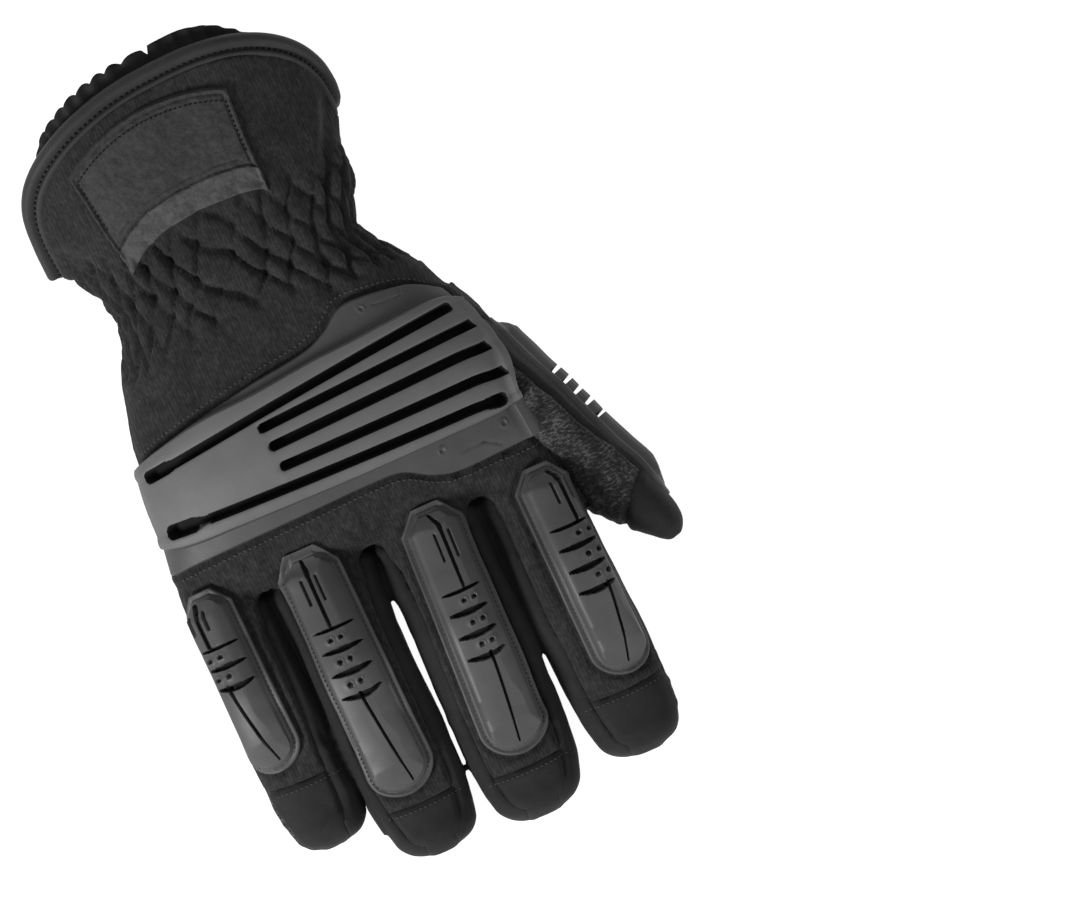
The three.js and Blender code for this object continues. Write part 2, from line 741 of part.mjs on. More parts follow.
// A guard on a tube. point(along, angle) is on the cloth, in shares of the tube and radians.
function tubeGuard({ point, start, end, middle, width, reach, grooves }) {
  const guardOn = (along, offset, height) => {
    const at = start + (end - start) * along;
    const step = 1e-3;
    const radius = reach * 1.02;
    const angle = middle - offset / radius;
    const here = point(at, angle);
    const turned = point(at, angle + step).sub(here);
    const onward = point(at + step, angle).sub(here);
    const normal = new THREE.Vector3().crossVectors(onward, turned).normalize();
    const centre = point(at, middle).add(point(at, middle + Math.PI)).multiplyScalar(0.5);
    if (normal.dot(here.clone().sub(centre)) < 0) normal.negate();
    return here.addScaledVector(normal, height);
  };
  const base = bedDepth;
  const flange = guardGap + flangeThickness;
  const rings = guardRows.map((row) => {
    const half = (row.wide * width) / 2;
    const inner = Math.max(half * 0.35, half - guardFlange);
    const top = flange + (fingerGuardHeight - flangeThickness) * row.body;
    const crown = inner * 0.62;
    const profile = [
      [-half, base],
      [-half * 0.5, base],
      [0, base],
      [half * 0.5, base],
      [half, base],
      [half, flange],
      [inner, flange],
      [crown, top],
      [0, top + 0.4 * row.body],
      [-crown, top],
      [-inner, flange],
      [-half, flange],
    ];
    return profile.map(([offset, height]) => guardOn(row.along, offset, height));
  });
  let solid = loft(rings);
  const length = guardOn(1, 0, 0).distanceTo(guardOn(0, 0, 0));
  for (const share of grooves) {
    const half = grooveWidth / 2 / length;
    const side = (width / 2 - guardFlange) * 0.9;
    const [low, high] = [guardGap + fingerGuardHeight - grooveDepth, fingerGuardHeight * 3];
    const corners = [[-side, low], [0, low], [side, low], [side, high], [0, high], [-side, high]];
    const groove = [share - half, share + half].map((along) =>
      corners.map(([offset, height]) => guardOn(along, offset, height)),
    );
    solid = solid.subtract(loft(groove));
  }
  return layOn(solid);
}

// Where each guard starts and ends, as shares of its finger.
const guardSpans = {
  index: { start: -0.02, end: 0.745 },
  middle: { start: -0.045, end: 0.8 },
  ring: { start: -0.075, end: 0.79 },
  little: { start: -0.1, end: 0.66 },
};

function fingerGuardSolid(finger) {
  const span = guardSpans[finger.name];
  return tubeGuard({
    point: (along, angle) => guardedPoint(finger, along, angle),
    ...span,
    middle: Math.PI / 2 + THREE.MathUtils.degToRad(finger.roll),
    width: fingerGuardWidth[finger.name],
    reach: (finger.width + finger.height) / 4,
    grooves: finger.name === "little" ? grooveShares.slice(0, 3) : grooveShares,
  });
}

// Over the web the hand's back is higher than the finger, so the guard lies on whichever is higher.
function guardedPoint(finger, along, angle) {
  const onFinger = fingerPoint(finger, along, angle);
  if (onFinger.y > palmToWeb) return onFinger;
  const [shift, wide] = ["shift", "wide"].map((key) => smooth(bodySections, key, onFinger.y, "y"));
  const onHand = bodyPoint(onFinger.y, angleOf((onFinger.x - shift) / wide));
  return onHand.z > onFinger.z ? onFinger.setZ(onHand.z) : onFinger;
}

function thumbGuardSolid() {
  return tubeGuard({
    point: (along, angle) => thumbPoint(along, angle),
    start: 0.2,
    end: 0.93,
    middle: 0,
    width: thumbGuardWidth,
    reach: (thumbWidth + thumbThickness) / 4,
    grooves: grooveShares.map((share) => share - 0.02),
  });
}

// Patch on the back of the cuff, in two fields with a step between them
function patchSolid() {
  const columns = 10;
  const low = mouthY + cuffLength * patchMargin;
  const high = low + patchLength;
  const rings = [];
  for (let i = 0; i <= columns; i++) {
    const angle = angleOf(patchLeft + ((patchRight - patchLeft) * i) / columns);
    const [base, top] = [bedDepth, guardGap + patchThickness];
    const step = 0.5;
    const profile = [
      [high, base],
      [high, top + step],
      [high - patchBand, top + step],
      [high - patchBand - step, top],
      [low + patchLength * 0.35, top],
      [low, top],
      [low, base],
      [low + patchLength * 0.35, base],
      [high - patchBand, base],
    ];
    rings.push(profile.map(([y, h]) => onBody(angle, y, h)));
  }
  return layOn(loft(rings));
}

// Materials

function material(colour, roughness) {
  return new THREE.MeshStandardMaterial({ color: colour, roughness, metalness: 0 });
}
const wovenCloth = material(0x2b2b2c, 0.85);
const palmCloth = material(0x3c3c3d, 0.9);
const smoothCloth = material(0x1f1f20, 0.8);
const bindingCloth = material(0x333334, 0.7);
const liningCloth = material(0x1a1a1b, 0.9);
const guardRubber = material(0x5c5c5e, 0.5);
const patchRubber = material(0x3a3a3b, 0.7);

// The glove

const glove = new THREE.Group();

function addPiece(name, solid, look) {
  const mesh = new THREE.Mesh(toGeometry(solid), look);
  mesh.name = name;
  glove.add(mesh);
}

addPiece("back_panel", backPanel, wovenCloth);
addPiece("palm_panel", palmPanel, palmCloth);
addPiece("cuff_palm", cuffPalm, smoothCloth);
for (const { name, solid } of [...sideStrips, ...caps]) {
  addPiece(name, solid, smoothCloth);
}
addPiece("thumb_back", thumbBack, smoothCloth);
addPiece("thumb_palm", thumbPalm, palmCloth);
addPiece("cuff_binding", bindingSolid(), bindingCloth);
addPiece("cuff_lining", liningSolid(), liningCloth);
addPiece("cuff_patch", patchSolid(), patchRubber);
addPiece(
  "knuckle_guard",
  slotRows.reduce((plate, row) => plate.subtract(slotSolid(row)), layOn(knuckleGuardSolid())),
  guardRubber,
);
for (const finger of fingers) {
  addPiece(`${finger.name}_guard`, fingerGuardSolid(finger), guardRubber);
}
addPiece("thumb_guard", thumbGuardSolid(), guardRubber);

export default glove;
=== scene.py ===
# Rescue glove lying palm down on a pale floor, seen from nearly straight above.
#
# Lengths are in millimetres and turned into metres where a mesh is made. +X points to the little
# finger's side, +Y to the fingertips and +Z out of the back of the hand.
import itertools
import math

import bmesh
import bpy
import numpy as np
from mathutils import Matrix, Vector
from mathutils.bvhtree import BVHTree
from mathutils.kdtree import KDTree


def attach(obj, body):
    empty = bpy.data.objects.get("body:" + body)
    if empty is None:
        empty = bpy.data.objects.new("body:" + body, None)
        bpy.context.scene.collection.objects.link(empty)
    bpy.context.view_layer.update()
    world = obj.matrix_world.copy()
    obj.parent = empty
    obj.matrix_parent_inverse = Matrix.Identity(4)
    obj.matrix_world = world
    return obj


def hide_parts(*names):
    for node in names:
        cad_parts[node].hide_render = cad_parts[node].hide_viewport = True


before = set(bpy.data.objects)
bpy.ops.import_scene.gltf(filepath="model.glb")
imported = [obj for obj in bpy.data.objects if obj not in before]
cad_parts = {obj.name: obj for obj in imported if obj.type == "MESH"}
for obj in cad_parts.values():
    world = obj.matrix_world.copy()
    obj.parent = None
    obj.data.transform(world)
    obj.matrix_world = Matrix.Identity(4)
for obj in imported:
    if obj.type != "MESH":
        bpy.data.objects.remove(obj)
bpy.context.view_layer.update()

MM = 0.001
scene = bpy.context.scene

# Camera: the photo's frame is VIEW_WIDTH wide on the glove, and its right is turned from +X.

VIEW_CENTRE = (-54.1, 30.7, 25.0)
VIEW_WIDTH = 323.1
VIEW_RIGHT = (-0.9135, 0.4067)
VIEW_DISTANCE = 6000.0
SENSOR = 36.0


def make_camera():
    data = bpy.data.cameras.new("camera")
    data.sensor_width = SENSOR
    data.lens = SENSOR * VIEW_DISTANCE / VIEW_WIDTH
    data.clip_start = 1.0
    data.clip_end = 60.0
    camera = bpy.data.objects.new("camera", data)
    scene.collection.objects.link(camera)
    right = Vector((*VIEW_RIGHT, 0)).normalized()
    back = Vector((0, 0, 1))
    up = back.cross(right)
    place = Vector(VIEW_CENTRE) + back * VIEW_DISTANCE
    turn = Matrix((right, up, back)).transposed().to_4x4()
    camera.matrix_world = Matrix.Translation(place * MM) @ turn
    scene.camera = camera


make_camera()

# Sizes of the glove

CLOTH = 2.0
CUFF_LENGTH, WRIST_TO_PALM, PALM_TO_WEB = 34.0, 56.0, 36.0
MOUTH_WIDTH, MOUTH_HEIGHT = 99.0, 57.0
WRIST_WIDTH, WRIST_HEIGHT = 79.0, 45.0
PALM_WIDTH, PALM_HEIGHT = 115.0, 45.0
WEB_WIDTH, WEB_HEIGHT = 120.0, 33.0
MOUTH_SHIFT, WRIST_SHIFT, WEB_SHIFT = 8.3, 6.7, 2.0
MOUTH_SLANT, BACK_LOBE, PALM_LOBE = 5.5, 25.0, 6.0
# How much further forward the cuff's edge comes at the little finger's side and at the thumb's,
# at which height of the section, and how far round from there
LITTLE_SIDE, THUMB_SIDE, SIDE_TURN, SIDE_SPREAD = 13.0, 11.0, -0.18, 0.42
# How much narrower the cuff gets at those sides, as shares of that
LITTLE_NARROW, THUMB_NARROW = 0.36, 0.14
MOUTH_Y = -(WRIST_TO_PALM + CUFF_LENGTH)
# Fuller and narrower places of the wrist on the thumb's side: along the hand, run and amount
THUMB_SIDE_SWELLS = [(-67.0, 8.5, 3.3), (-50.5, 6.0, -1.9)]
BODY_POWER, FINGER_POWER = 2.35, 2.3
FINGER_ARCH = 4.0
# How far the lowest cloth stays above the floor
FLOOR_GAP = 0.02
STRIP_UP, STRIP_DOWN, STRIP_DEPTH, STRIP_REACH = 9.2, 5.0, 7.0, 0.16
PALM_SEAM_Y = -WRIST_TO_PALM * 0.66

# Sections of the hand: y, shift, half width, level, up and down from the level
BODY = [
    (
        MOUTH_Y,
        MOUTH_SHIFT,
        MOUTH_WIDTH / 2,
        MOUTH_HEIGHT * 0.53,
        MOUTH_HEIGHT * 0.51,
        MOUTH_HEIGHT * 0.49,
    ),
    (
        MOUTH_Y + CUFF_LENGTH * 0.38,
        MOUTH_SHIFT * 0.8 + WRIST_SHIFT * 0.2,
        MOUTH_WIDTH * 0.33 + WRIST_WIDTH * 0.15,
        MOUTH_HEIGHT * 0.51,
        MOUTH_HEIGHT * 0.47,
        MOUTH_HEIGHT * 0.46,
    ),
    (
        -WRIST_TO_PALM,
        WRIST_SHIFT,
        WRIST_WIDTH / 2,
        WRIST_HEIGHT * 0.55,
        WRIST_HEIGHT * 0.5,
        WRIST_HEIGHT * 0.5,
    ),
    (
        -WRIST_TO_PALM * 0.6,
        WRIST_SHIFT * 0.6,
        WRIST_WIDTH * 0.26 + PALM_WIDTH * 0.25,
        PALM_HEIGHT * 0.48,
        PALM_HEIGHT * 0.49,
        PALM_HEIGHT * 0.5,
    ),
    (
        -WRIST_TO_PALM * 0.3,
        WRIST_SHIFT * 0.3,
        PALM_WIDTH * 0.475,
        PALM_HEIGHT * 0.47,
        PALM_HEIGHT * 0.5,
        PALM_HEIGHT * 0.52,
    ),
    (0.0, WEB_SHIFT * 0.25, PALM_WIDTH / 2, PALM_HEIGHT * 0.46, PALM_HEIGHT * 0.49, PALM_HEIGHT * 0.51),
    (
        PALM_TO_WEB * 0.55,
        WEB_SHIFT * 0.7,
        WEB_WIDTH * 0.4935,
        WEB_HEIGHT * 0.58,
        WEB_HEIGHT * 0.57,
        WEB_HEIGHT * 0.6,
    ),
    (
        PALM_TO_WEB * 0.87,
        WEB_SHIFT * 1.2,
        WEB_WIDTH * 0.5015,
        WEB_HEIGHT * 0.54,
        WEB_HEIGHT * 0.46,
        WEB_HEIGHT * 0.5,
    ),
    (PALM_TO_WEB, WEB_SHIFT, WEB_WIDTH * 0.48, WEB_HEIGHT * 0.54, WEB_HEIGHT * 0.34, WEB_HEIGHT * 0.36),
]

# Sections of a finger: share along, wide, thick, lift
FINGER_SECTIONS = [
    (-0.2, 0.86, 0.9, -0.2),
    (0.08, 0.92, 0.98, 0.35),
    (0.3, 0.95, 1, 1),
    (0.52, 1, 0.98, 0.9),
    (0.72, 1.02, 0.94, 0.2),
    (0.86, 0.97, 0.91, 0),
    (0.93, 0.84, 0.86, 0),
    (0.975, 0.62, 0.7, 0),
    (1, 0.26, 0.4, 0),
]

# A finger's place across the web is a share of half the web's width, and its guard starts and ends
# at shares of the finger.
# name, place, lean, length, width, height, roll, cap, guard, guard_width
FINGER_ROWS = [
    ("index", -0.795, -1.8, 90.0, 29.6, 25.0, 20.0, 19.0, (-0.02, 0.745), 18.0),
    ("middle", -0.277, 2.8, 95.0, 32.2, 26.0, 3.0, 15.0, (-0.045, 0.8), 19.5),
    ("ring", 0.327, -1.2, 93.0, 30.1, 26.0, -6.0, 16.0, (-0.075, 0.79), 19.5),
    ("little", 0.817, -2.2, 78.0, 25.6, 23.0, -24.0, 21.0, (-0.1, 0.66), 17.0),
]
# How far the cloth bulges out to the left and to the right, at distances from the web
FULLNESS = {
    "index": (
        [(-10, 0), (100, 0)],
        [(-10, 1.0), (0, 1.0), (44, 1.1), (58, 0), (100, 0)],
    ),
    "middle": (
        [(-10, 0.9), (0, 0.9), (44, 0.8), (58, 0), (100, 0)],
        [(-10, 3.0), (0, 3.0), (14, 2.8), (24, 1.5), (40, 0.8), (60, 0), (100, 0)],
    ),
    "ring": (
        [(-10, 3.0), (0, 3.0), (14, 2.6), (24, 1.2), (40, 0.5), (60, 0), (100, 0)],
        [(-10, 1.3), (0, 1.3), (24, 0.7), (44, 0), (100, 0)],
    ),
    "little": (
        [(-10, 1.4), (0, 1.4), (24, 0.6), (44, 0), (100, 0)],
        [(-10, 0), (100, 0)],
    ),
}
FINGER_COLUMNS = ["name", "place", "lean", "length", "width", "height", "roll", "cap"]
FINGER_COLUMNS += ["guard", "guard_width", "full_left", "full_right"]
FINGERS = [dict(zip(FINGER_COLUMNS, (*row, *FULLNESS[row[0]]))) for row in FINGER_ROWS]

THUMB_LENGTH, THUMB_WIDTH, THUMB_THICKNESS = 100.0, 27.5, 22.0
THUMB_YAW, THUMB_BEND, THUMB_ROLL = math.radians(22), math.radians(-14), math.radians(4)
THUMB_BASE = np.array([-PALM_WIDTH * 0.348, -WRIST_TO_PALM * 0.36, PALM_HEIGHT * 0.42])

# Sections of the thumb: share along, wide, thick, out
THUMB_SECTIONS = [
    (0, 1.1, 1.1, 0),
    (0.25, 1.12, 1.02, 0),
    (0.45, 1.06, 1, 0),
    (0.65, 1, 1, 0),
    (0.8, 0.95, 0.88, 0.06),
    (0.9, 0.84, 0.68, 0.14),
    (0.97, 0.6, 0.44, 0.2),
    (1, 0.24, 0.2, 0.2),
]

# Height of the side seams along the hand
SIDE_SEAM = [
    (MOUTH_Y - 60, MOUTH_HEIGHT * 0.53),
    (MOUTH_Y, MOUTH_HEIGHT * 0.53),
    (-WRIST_TO_PALM, WRIST_HEIGHT * 0.55),
    (-WRIST_TO_PALM * 0.3, PALM_HEIGHT * 0.45),
    (PALM_TO_WEB * 0.5, PALM_HEIGHT * 0.4),
    (55.0, PALM_HEIGHT * 0.4),
    (90.6, 13.35),
    (160.0, 10.9),
]
# Where the cloth between two fingers starts, in plan
CROTCHES = [(-30.5, 34.5), (3.8, 35.5), (38.0, 33.0)]

# How far below the thumb's side its guard lies, as an angle
THUMB_GUARD_TURN = -0.42

# Offset of the thumb's seam along the thumb, as a share of its thickness
THUMB_SEAM = [
    (-0.1, 0.2),
    (0.2, 0.27),
    (0.4, 0.28),
    (0.55, 0.32),
    (0.7, 0.41),
    (0.78, 0.44),
    (0.85, -0.1),
    (0.92, -0.45),
    (1.1, -0.5),
]


# Curves and noise


def linear(rows, at):
    """The second column of a table at places in its first."""
    table = np.asarray(rows, float)
    return np.interp(at, table[:, 0], table[:, 1])


def hermite(rows, at):
    """Every later column of a table at places in its first, on smooth curves through its rows."""
    table = np.asarray(rows, float)
    x, v = table[:, 0], table[:, 1:]
    at = np.clip(np.asarray(at, float), x[0], x[-1])
    i = np.clip(np.searchsorted(x, at, side="right") - 1, 0, len(x) - 2)
    slope = np.empty_like(v)
    slope[1:-1] = (v[2:] - v[:-2]) / (x[2:] - x[:-2])[:, None]
    slope[0] = (v[1] - v[0]) / (x[1] - x[0])
    slope[-1] = (v[-1] - v[-2]) / (x[-1] - x[-2])
    step = (x[i + 1] - x[i])[..., None]
    t = (at - x[i])[..., None] / step
    return (
        (2 * t**3 - 3 * t**2 + 1) * v[i]
        + (t**3 - 2 * t**2 + t) * step * slope[i]
        + (3 * t**2 - 2 * t**3) * v[i + 1]
        + (t**3 - t**2) * step * slope[i + 1]
    )


def ease(t):
    t = np.clip(t, 0, 1)
    return t * t * (3 - 2 * t)


def bell(x, middle, width):
    """1 in the middle, and falling smoothly to 0 on both sides of it."""
    return np.exp(-(((x - middle) / width) ** 2))


def arc_length(line):
    """How far along a line each of its points lies."""
    return np.concatenate([[0], np.cumsum(np.linalg.norm(np.diff(line, axis=0), axis=1))])


def rounded(v, power):
    return np.sign(v) * np.abs(v) ** (2 / power)


def unit(v):
    return v / np.maximum(np.linalg.norm(v, axis=-1, keepdims=True), 1e-12)


def noise(points, size, seed=0):
    """Smooth noise from -1 to 1 over points, with features of the given size."""
    q = np.asarray(points, float) / size + 211.3 + 19.7 * seed
    cell = np.floor(q).astype(np.int64)
    f = q - cell
    f = f * f * (3 - 2 * f)
    total = 0.0
    for corner in itertools.product((0, 1), repeat=q.shape[-1]):
        c = cell + np.array(corner)
        key = c[..., 0] * 73856093
        for axis, prime in zip(range(1, q.shape[-1]), (19349663, 83492791)):
            key = key ^ (c[..., axis] * prime)
        key = (key ^ (key >> 13)) * 1274126177 & 0x7FFFFFFF
        key = (key ^ (key >> 15)) * 668265263 & 0x7FFFFFFF
        value = (key & 0xFFFF) / 32767.5 - 1
        total = total + value * np.prod(np.where(corner, f, 1 - f), axis=-1)
    return total


# Surfaces of the hand, the fingers and the thumb


def cuff_share(y):
    """0 on the hand up to the wrist, and then rising to 1 at the cuff's edge."""
    return np.clip((-WRIST_TO_PALM - y) / CUFF_LENGTH, 0, 1) ** 1.5


def side_reach(y, angle):
    """How much further towards the hand the cuff's edge lies at its two sides."""
    c, s = np.cos(angle), np.sin(angle)
    most = np.where(c > 0, LITTLE_SIDE, THUMB_SIDE)
    return cuff_share(y) * most * bell(s, SIDE_TURN, SIDE_SPREAD)


def lean(y, angle):
    """How far along the hand the cuff's rings bend away from a plane across it."""
    c, s = np.cos(angle), np.sin(angle)
    power = 1.2 - 0.3 * np.maximum(0, c) + 0.14 * np.maximum(0, -c)
    bulge = np.where(s > 0, BACK_LOBE, PALM_LOBE) * np.abs(s) ** power
    return cuff_share(y) * (MOUTH_SLANT * c - bulge) + side_reach(y, angle)


def body_point(y, angle, extra=0.0):
    y, angle = np.broadcast_arrays(np.asarray(y, float), np.asarray(angle, float))
    shift, wide, level, up, down = np.moveaxis(hermite(BODY, y), -1, 0)
    c, s = np.cos(angle), np.sin(angle)
    narrow = np.where(c > 0, LITTLE_NARROW, THUMB_NARROW) * c * side_reach(y, angle)
    x = shift + (wide + extra) * rounded(c, BODY_POWER) - narrow
    for at, run, swell in THUMB_SIDE_SWELLS:
        x = x - swell * bell(y, at, run) * np.maximum(0, -c)
    z = level + (np.where(s > 0, up, down) + extra) * rounded(s, BODY_POWER)
    return np.stack([x, y + lean(y, angle), z], -1)


def angle_of(across):
    limit = np.clip(across, -0.995, 0.995)
    return np.arccos(np.sign(limit) * np.abs(limit) ** (BODY_POWER / 2))


def body_frame(y, angle):
    """Points on the hand with the way their cloth faces."""
    step = 1e-3
    point = body_point(y, angle)
    round_it = body_point(y, angle + step) - point
    along = body_point(np.asarray(y) + step, angle) - point
    normal = unit(np.cross(along, round_it))
    out = np.stack([np.cos(angle), np.zeros_like(angle), np.sin(angle)], -1)
    flip = np.sum(normal * out, -1, keepdims=True) < 0
    return point, np.where(flip, -normal, normal)


def finger_centre(finger, along):
    lift = hermite(FINGER_SECTIONS, along)[..., 2]
    tip = finger["height"] * 0.43
    fall = ease((along - 0.3) / 0.6)
    base = WEB_HEIGHT * 0.37 + finger["height"] * 0.26 + FINGER_ARCH * lift
    x = WEB_SHIFT + finger["place"] * WEB_WIDTH / 2 + finger["lean"] * np.maximum(0, along)
    y = PALM_TO_WEB + finger["length"] * along
    return np.stack([x + 0 * y, y, base * (1 - fall) + tip * fall], -1)


def finger_point(finger, along, angle, full=True):
    along, angle = np.broadcast_arrays(np.asarray(along, float), np.asarray(angle, float))
    wide, thick, _ = np.moveaxis(hermite(FINGER_SECTIONS, along), -1, 0)
    c, s = rounded(np.cos(angle), FINGER_POWER), rounded(np.sin(angle), FINGER_POWER)
    point = finger_centre(finger, along)
    point[..., 0] += wide * finger["width"] / 2 * c
    point[..., 2] += thick * finger["height"] / 2 * s
    if full:
        past = finger["length"] * along
        side = np.where(c > 0, linear(finger["full_right"], past), -linear(finger["full_left"], past))
        point[..., 0] += side * np.abs(c) ** 1.5
    return point


def thumb_axes(along):
    yaw = THUMB_YAW + THUMB_BEND * (np.asarray(along, float) - 0.5)
    zero = np.zeros_like(yaw)
    forward = np.stack([-np.sin(yaw), np.cos(yaw), zero], -1)
    side = np.stack([-np.cos(yaw), -np.sin(yaw), zero], -1)
    out = side * math.cos(THUMB_ROLL) + np.array([0, 0, math.sin(THUMB_ROLL)])
    up = unit(np.cross(out, forward))
    return forward, out, np.where(up[..., 2:] < 0, -up, up)


def thumb_centre(along):
    along = np.asarray(along, float)
    start = THUMB_YAW - THUMB_BEND / 2
    yaw = start + THUMB_BEND * along
    x = THUMB_BASE[0] + THUMB_LENGTH * (np.cos(yaw) - math.cos(start)) / THUMB_BEND
    y = THUMB_BASE[1] + THUMB_LENGTH * (np.sin(yaw) - math.sin(start)) / THUMB_BEND
    z = THUMB_BASE[2] + (THUMB_WIDTH * 0.487 - THUMB_BASE[2]) * np.minimum(1, along * 1.15)
    return np.stack([x, y, z], -1)


def thumb_point(along, angle):
    along, angle = np.broadcast_arrays(np.asarray(along, float), np.asarray(angle, float))
    wide, thick, out = np.moveaxis(hermite(THUMB_SECTIONS, along), -1, 0)
    _, outward, up = thumb_axes(along)
    swell = 3.0 * bell(along, 0.64, 0.13) * np.maximum(0, -np.cos(angle))
    flat = 2.3 * ease((along - 0.06) / 0.2) * (1 - ease((along - 0.6) / 0.28))
    swell = swell + flat * np.maximum(0, np.cos(angle - THUMB_GUARD_TURN)) ** 1.5
    a = out * THUMB_THICKNESS + thick * THUMB_THICKNESS / 2 * rounded(np.cos(angle), FINGER_POWER) - swell
    b = wide * THUMB_WIDTH / 2 * rounded(np.sin(angle), FINGER_POWER)
    return thumb_centre(along) + a[..., None] * outward + b[..., None] * up


def thumb_place(points):
    """Share along the thumb, and the offsets out and up from its middle, of points near it."""
    first, last = thumb_centre(0.0), thumb_centre(1.0)
    chord = last - first
    along = (points - first) @ chord / (chord @ chord)
    for _ in range(2):
        forward, out, up = thumb_axes(along)
        gap = points - thumb_centre(along)
        along = along + np.sum(gap * forward, -1) / THUMB_LENGTH
    forward, out, up = thumb_axes(along)
    gap = points - thumb_centre(along)
    return along, np.sum(gap * out, -1), np.sum(gap * up, -1)


# How far points lie outside the hand, a finger and the thumb


def oval_distance(dx, dz, wide, high, power):
    reach = (np.abs(dx / wide) ** power + np.abs(dz / high) ** power) ** (1 / power)
    return np.hypot(dx, dz) * (1 - 1 / np.maximum(reach, 1e-6))


def body_distance(points):
    x, y, z = points.T
    shift, wide, level, up, down = hermite(BODY, y).T
    distance = oval_distance(x - shift, z - level, wide, np.where(z > level, up, down), BODY_POWER)
    return np.maximum(distance, y - PALM_TO_WEB)


def finger_distance(finger, points):
    along = (points[:, 1] - PALM_TO_WEB) / finger["length"]
    wide, thick, _ = hermite(FINGER_SECTIONS, along).T
    centre = finger_centre(finger, along)
    gap = points - centre
    return oval_distance(
        gap[:, 0], gap[:, 2], wide * finger["width"] / 2, thick * finger["height"] / 2, FINGER_POWER
    )


def thumb_distance(points):
    along, out, up = thumb_place(points)
    wide, thick, shift = hermite(THUMB_SECTIONS, along).T
    away = out - shift * THUMB_THICKNESS
    distance = oval_distance(away, up, thick * THUMB_THICKNESS / 2, wide * THUMB_WIDTH / 2, FINGER_POWER)
    return distance + THUMB_LENGTH * np.maximum(0, np.maximum(-along, along - 1))


# Fields that are zero along a seam or an edge


def mouth_angle(points):
    shift, wide, level, up, down = BODY[0][1:]
    dx, dz = (points[:, 0] - shift) / wide, points[:, 2] - level
    dz = dz / np.where(dz > 0, up, down)
    return np.arctan2(rounded(dz, 4 / BODY_POWER), rounded(dx, 4 / BODY_POWER))


def mouth_field(points):
    return points[:, 1] - MOUTH_Y - lean(MOUTH_Y, mouth_angle(points))


def side_field(points):
    return points[:, 2] - linear(SIDE_SEAM, points[:, 1])


def palm_field(points):
    return points[:, 1] - PALM_SEAM_Y


# How far the edge of a fingertip's cap bows between the finger's middle and its sides
CAP_BOW = 1.2


def cap_field(finger):
    start = PALM_TO_WEB + finger["length"] - finger["cap"]

    def field(points):
        centre = finger_centre(finger, 1.0)[0]
        off = (points[:, 0] - centre) / (finger["width"] / 2)
        edge = points[:, 1] - start + CAP_BOW * off**2
        return np.minimum(edge, finger["width"] * 0.62 - np.abs(points[:, 0] - centre))

    return field


def strip_field(a, b):
    def field(points):
        pa = finger_centre(a, (points[:, 1] - PALM_TO_WEB) / a["length"])
        pb = finger_centre(b, (points[:, 1] - PALM_TO_WEB) / b["length"])
        left = pa[:, 0] + a["width"] * STRIP_REACH
        right = pb[:, 0] - b["width"] * STRIP_REACH
        x, y, z = points.T
        share = np.clip((x - left) / (right - left), 0, 1)
        level = pa[:, 2] * (1 - share) + pb[:, 2] * share
        sides = np.minimum(x - left, right - x)
        middle = (pa[:, 0] + a["width"] / 2 + pb[:, 0] - b["width"] / 2) / 2
        arch_half = 3.9 + 0.22 * np.maximum(0, y - 42)
        sides = np.where(z > level, np.minimum(sides, arch_half - np.abs(x - middle)), sides)
        heights = np.minimum(level + STRIP_UP - z, z - level + STRIP_DOWN)
        start = y - PALM_TO_WEB - 0.8 + STRIP_DEPTH * ease((level + 1 - z) / 5)
        corner = 3.8
        arch = corner - np.hypot(np.maximum(0, corner - start), np.maximum(0, corner - sides))
        return np.minimum(arch, heights)

    return field


def thumb_field(points):
    hand = np.minimum(body_distance(points), finger_distance(FINGERS[0], points))
    return hand - thumb_distance(points)


def thumb_seam_field(points):
    along, out, _ = thumb_place(points)
    return out - linear(THUMB_SEAM, along) * THUMB_THICKNESS


# Meshes


def loft(rings):
    """Points and faces of a closed tube through rings, each an array of points."""
    count, sides = len(rings), len(rings[0])
    r = (np.arange(count - 1) * sides)[:, None]
    i = np.arange(sides)
    j = (i + 1) % sides
    quads = np.stack([r + i, r + j, r + sides + j, r + sides + i], -1).reshape(-1, 4).tolist()
    points = [*np.concatenate(rings), rings[0].mean(0), rings[-1].mean(0)]
    first, last = count * sides, count * sides + 1
    start = (count - 1) * sides
    caps = [(first, int(b), int(a)) for a, b in zip(i, j)]
    caps += [(last, int(start + a), int(start + b)) for a, b in zip(i, j)]
    return np.array(points), quads + caps


def join(parts):
    """One set of points and faces from several."""
    points, faces, start = [], [], 0
    for p, f in parts:
        points.append(p)
        faces.extend([tuple(k + start for k in face) for face in f])
        start += len(p)
    return np.concatenate(points), faces


def make_mesh(name, points, faces, materials, face_material=None, sharp=None, recalculate=False):
    mesh = bpy.data.meshes.new(name)
    faces = faces.tolist() if isinstance(faces, np.ndarray) else faces
    mesh.from_pydata((points * MM).tolist(), [], faces)
    for material in materials:
        mesh.materials.append(material)
    if face_material is not None:
        mesh.polygons.foreach_set("material_index", np.asarray(face_material, np.int32))
    if recalculate:
        work = bmesh.new()
        work.from_mesh(mesh)
        bmesh.ops.recalc_face_normals(work, faces=work.faces)
        work.to_mesh(mesh)
        work.free()
    mesh.shade_smooth()
    if sharp is not None:
        mesh.set_sharp_from_angle(angle=math.radians(sharp))
    mesh.update()
    return mesh


def add_piece(name, mesh, slot, *nodes):
    piece = bpy.data.objects.new(name, mesh)
    scene.collection.objects.link(piece)
    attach(piece, "root")
    if nodes:
        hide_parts(*nodes)
    return piece


def point_normals(points, faces):
    corners = points[faces]
    face = np.cross(corners[:, 2] - corners[:, 0], corners[:, 3] - corners[:, 1])
    total = np.zeros_like(points)
    for k, axis in itertools.product(range(4), range(3)):
        total[:, axis] += np.bincount(faces[:, k], face[:, axis], len(points))
    return unit(total)


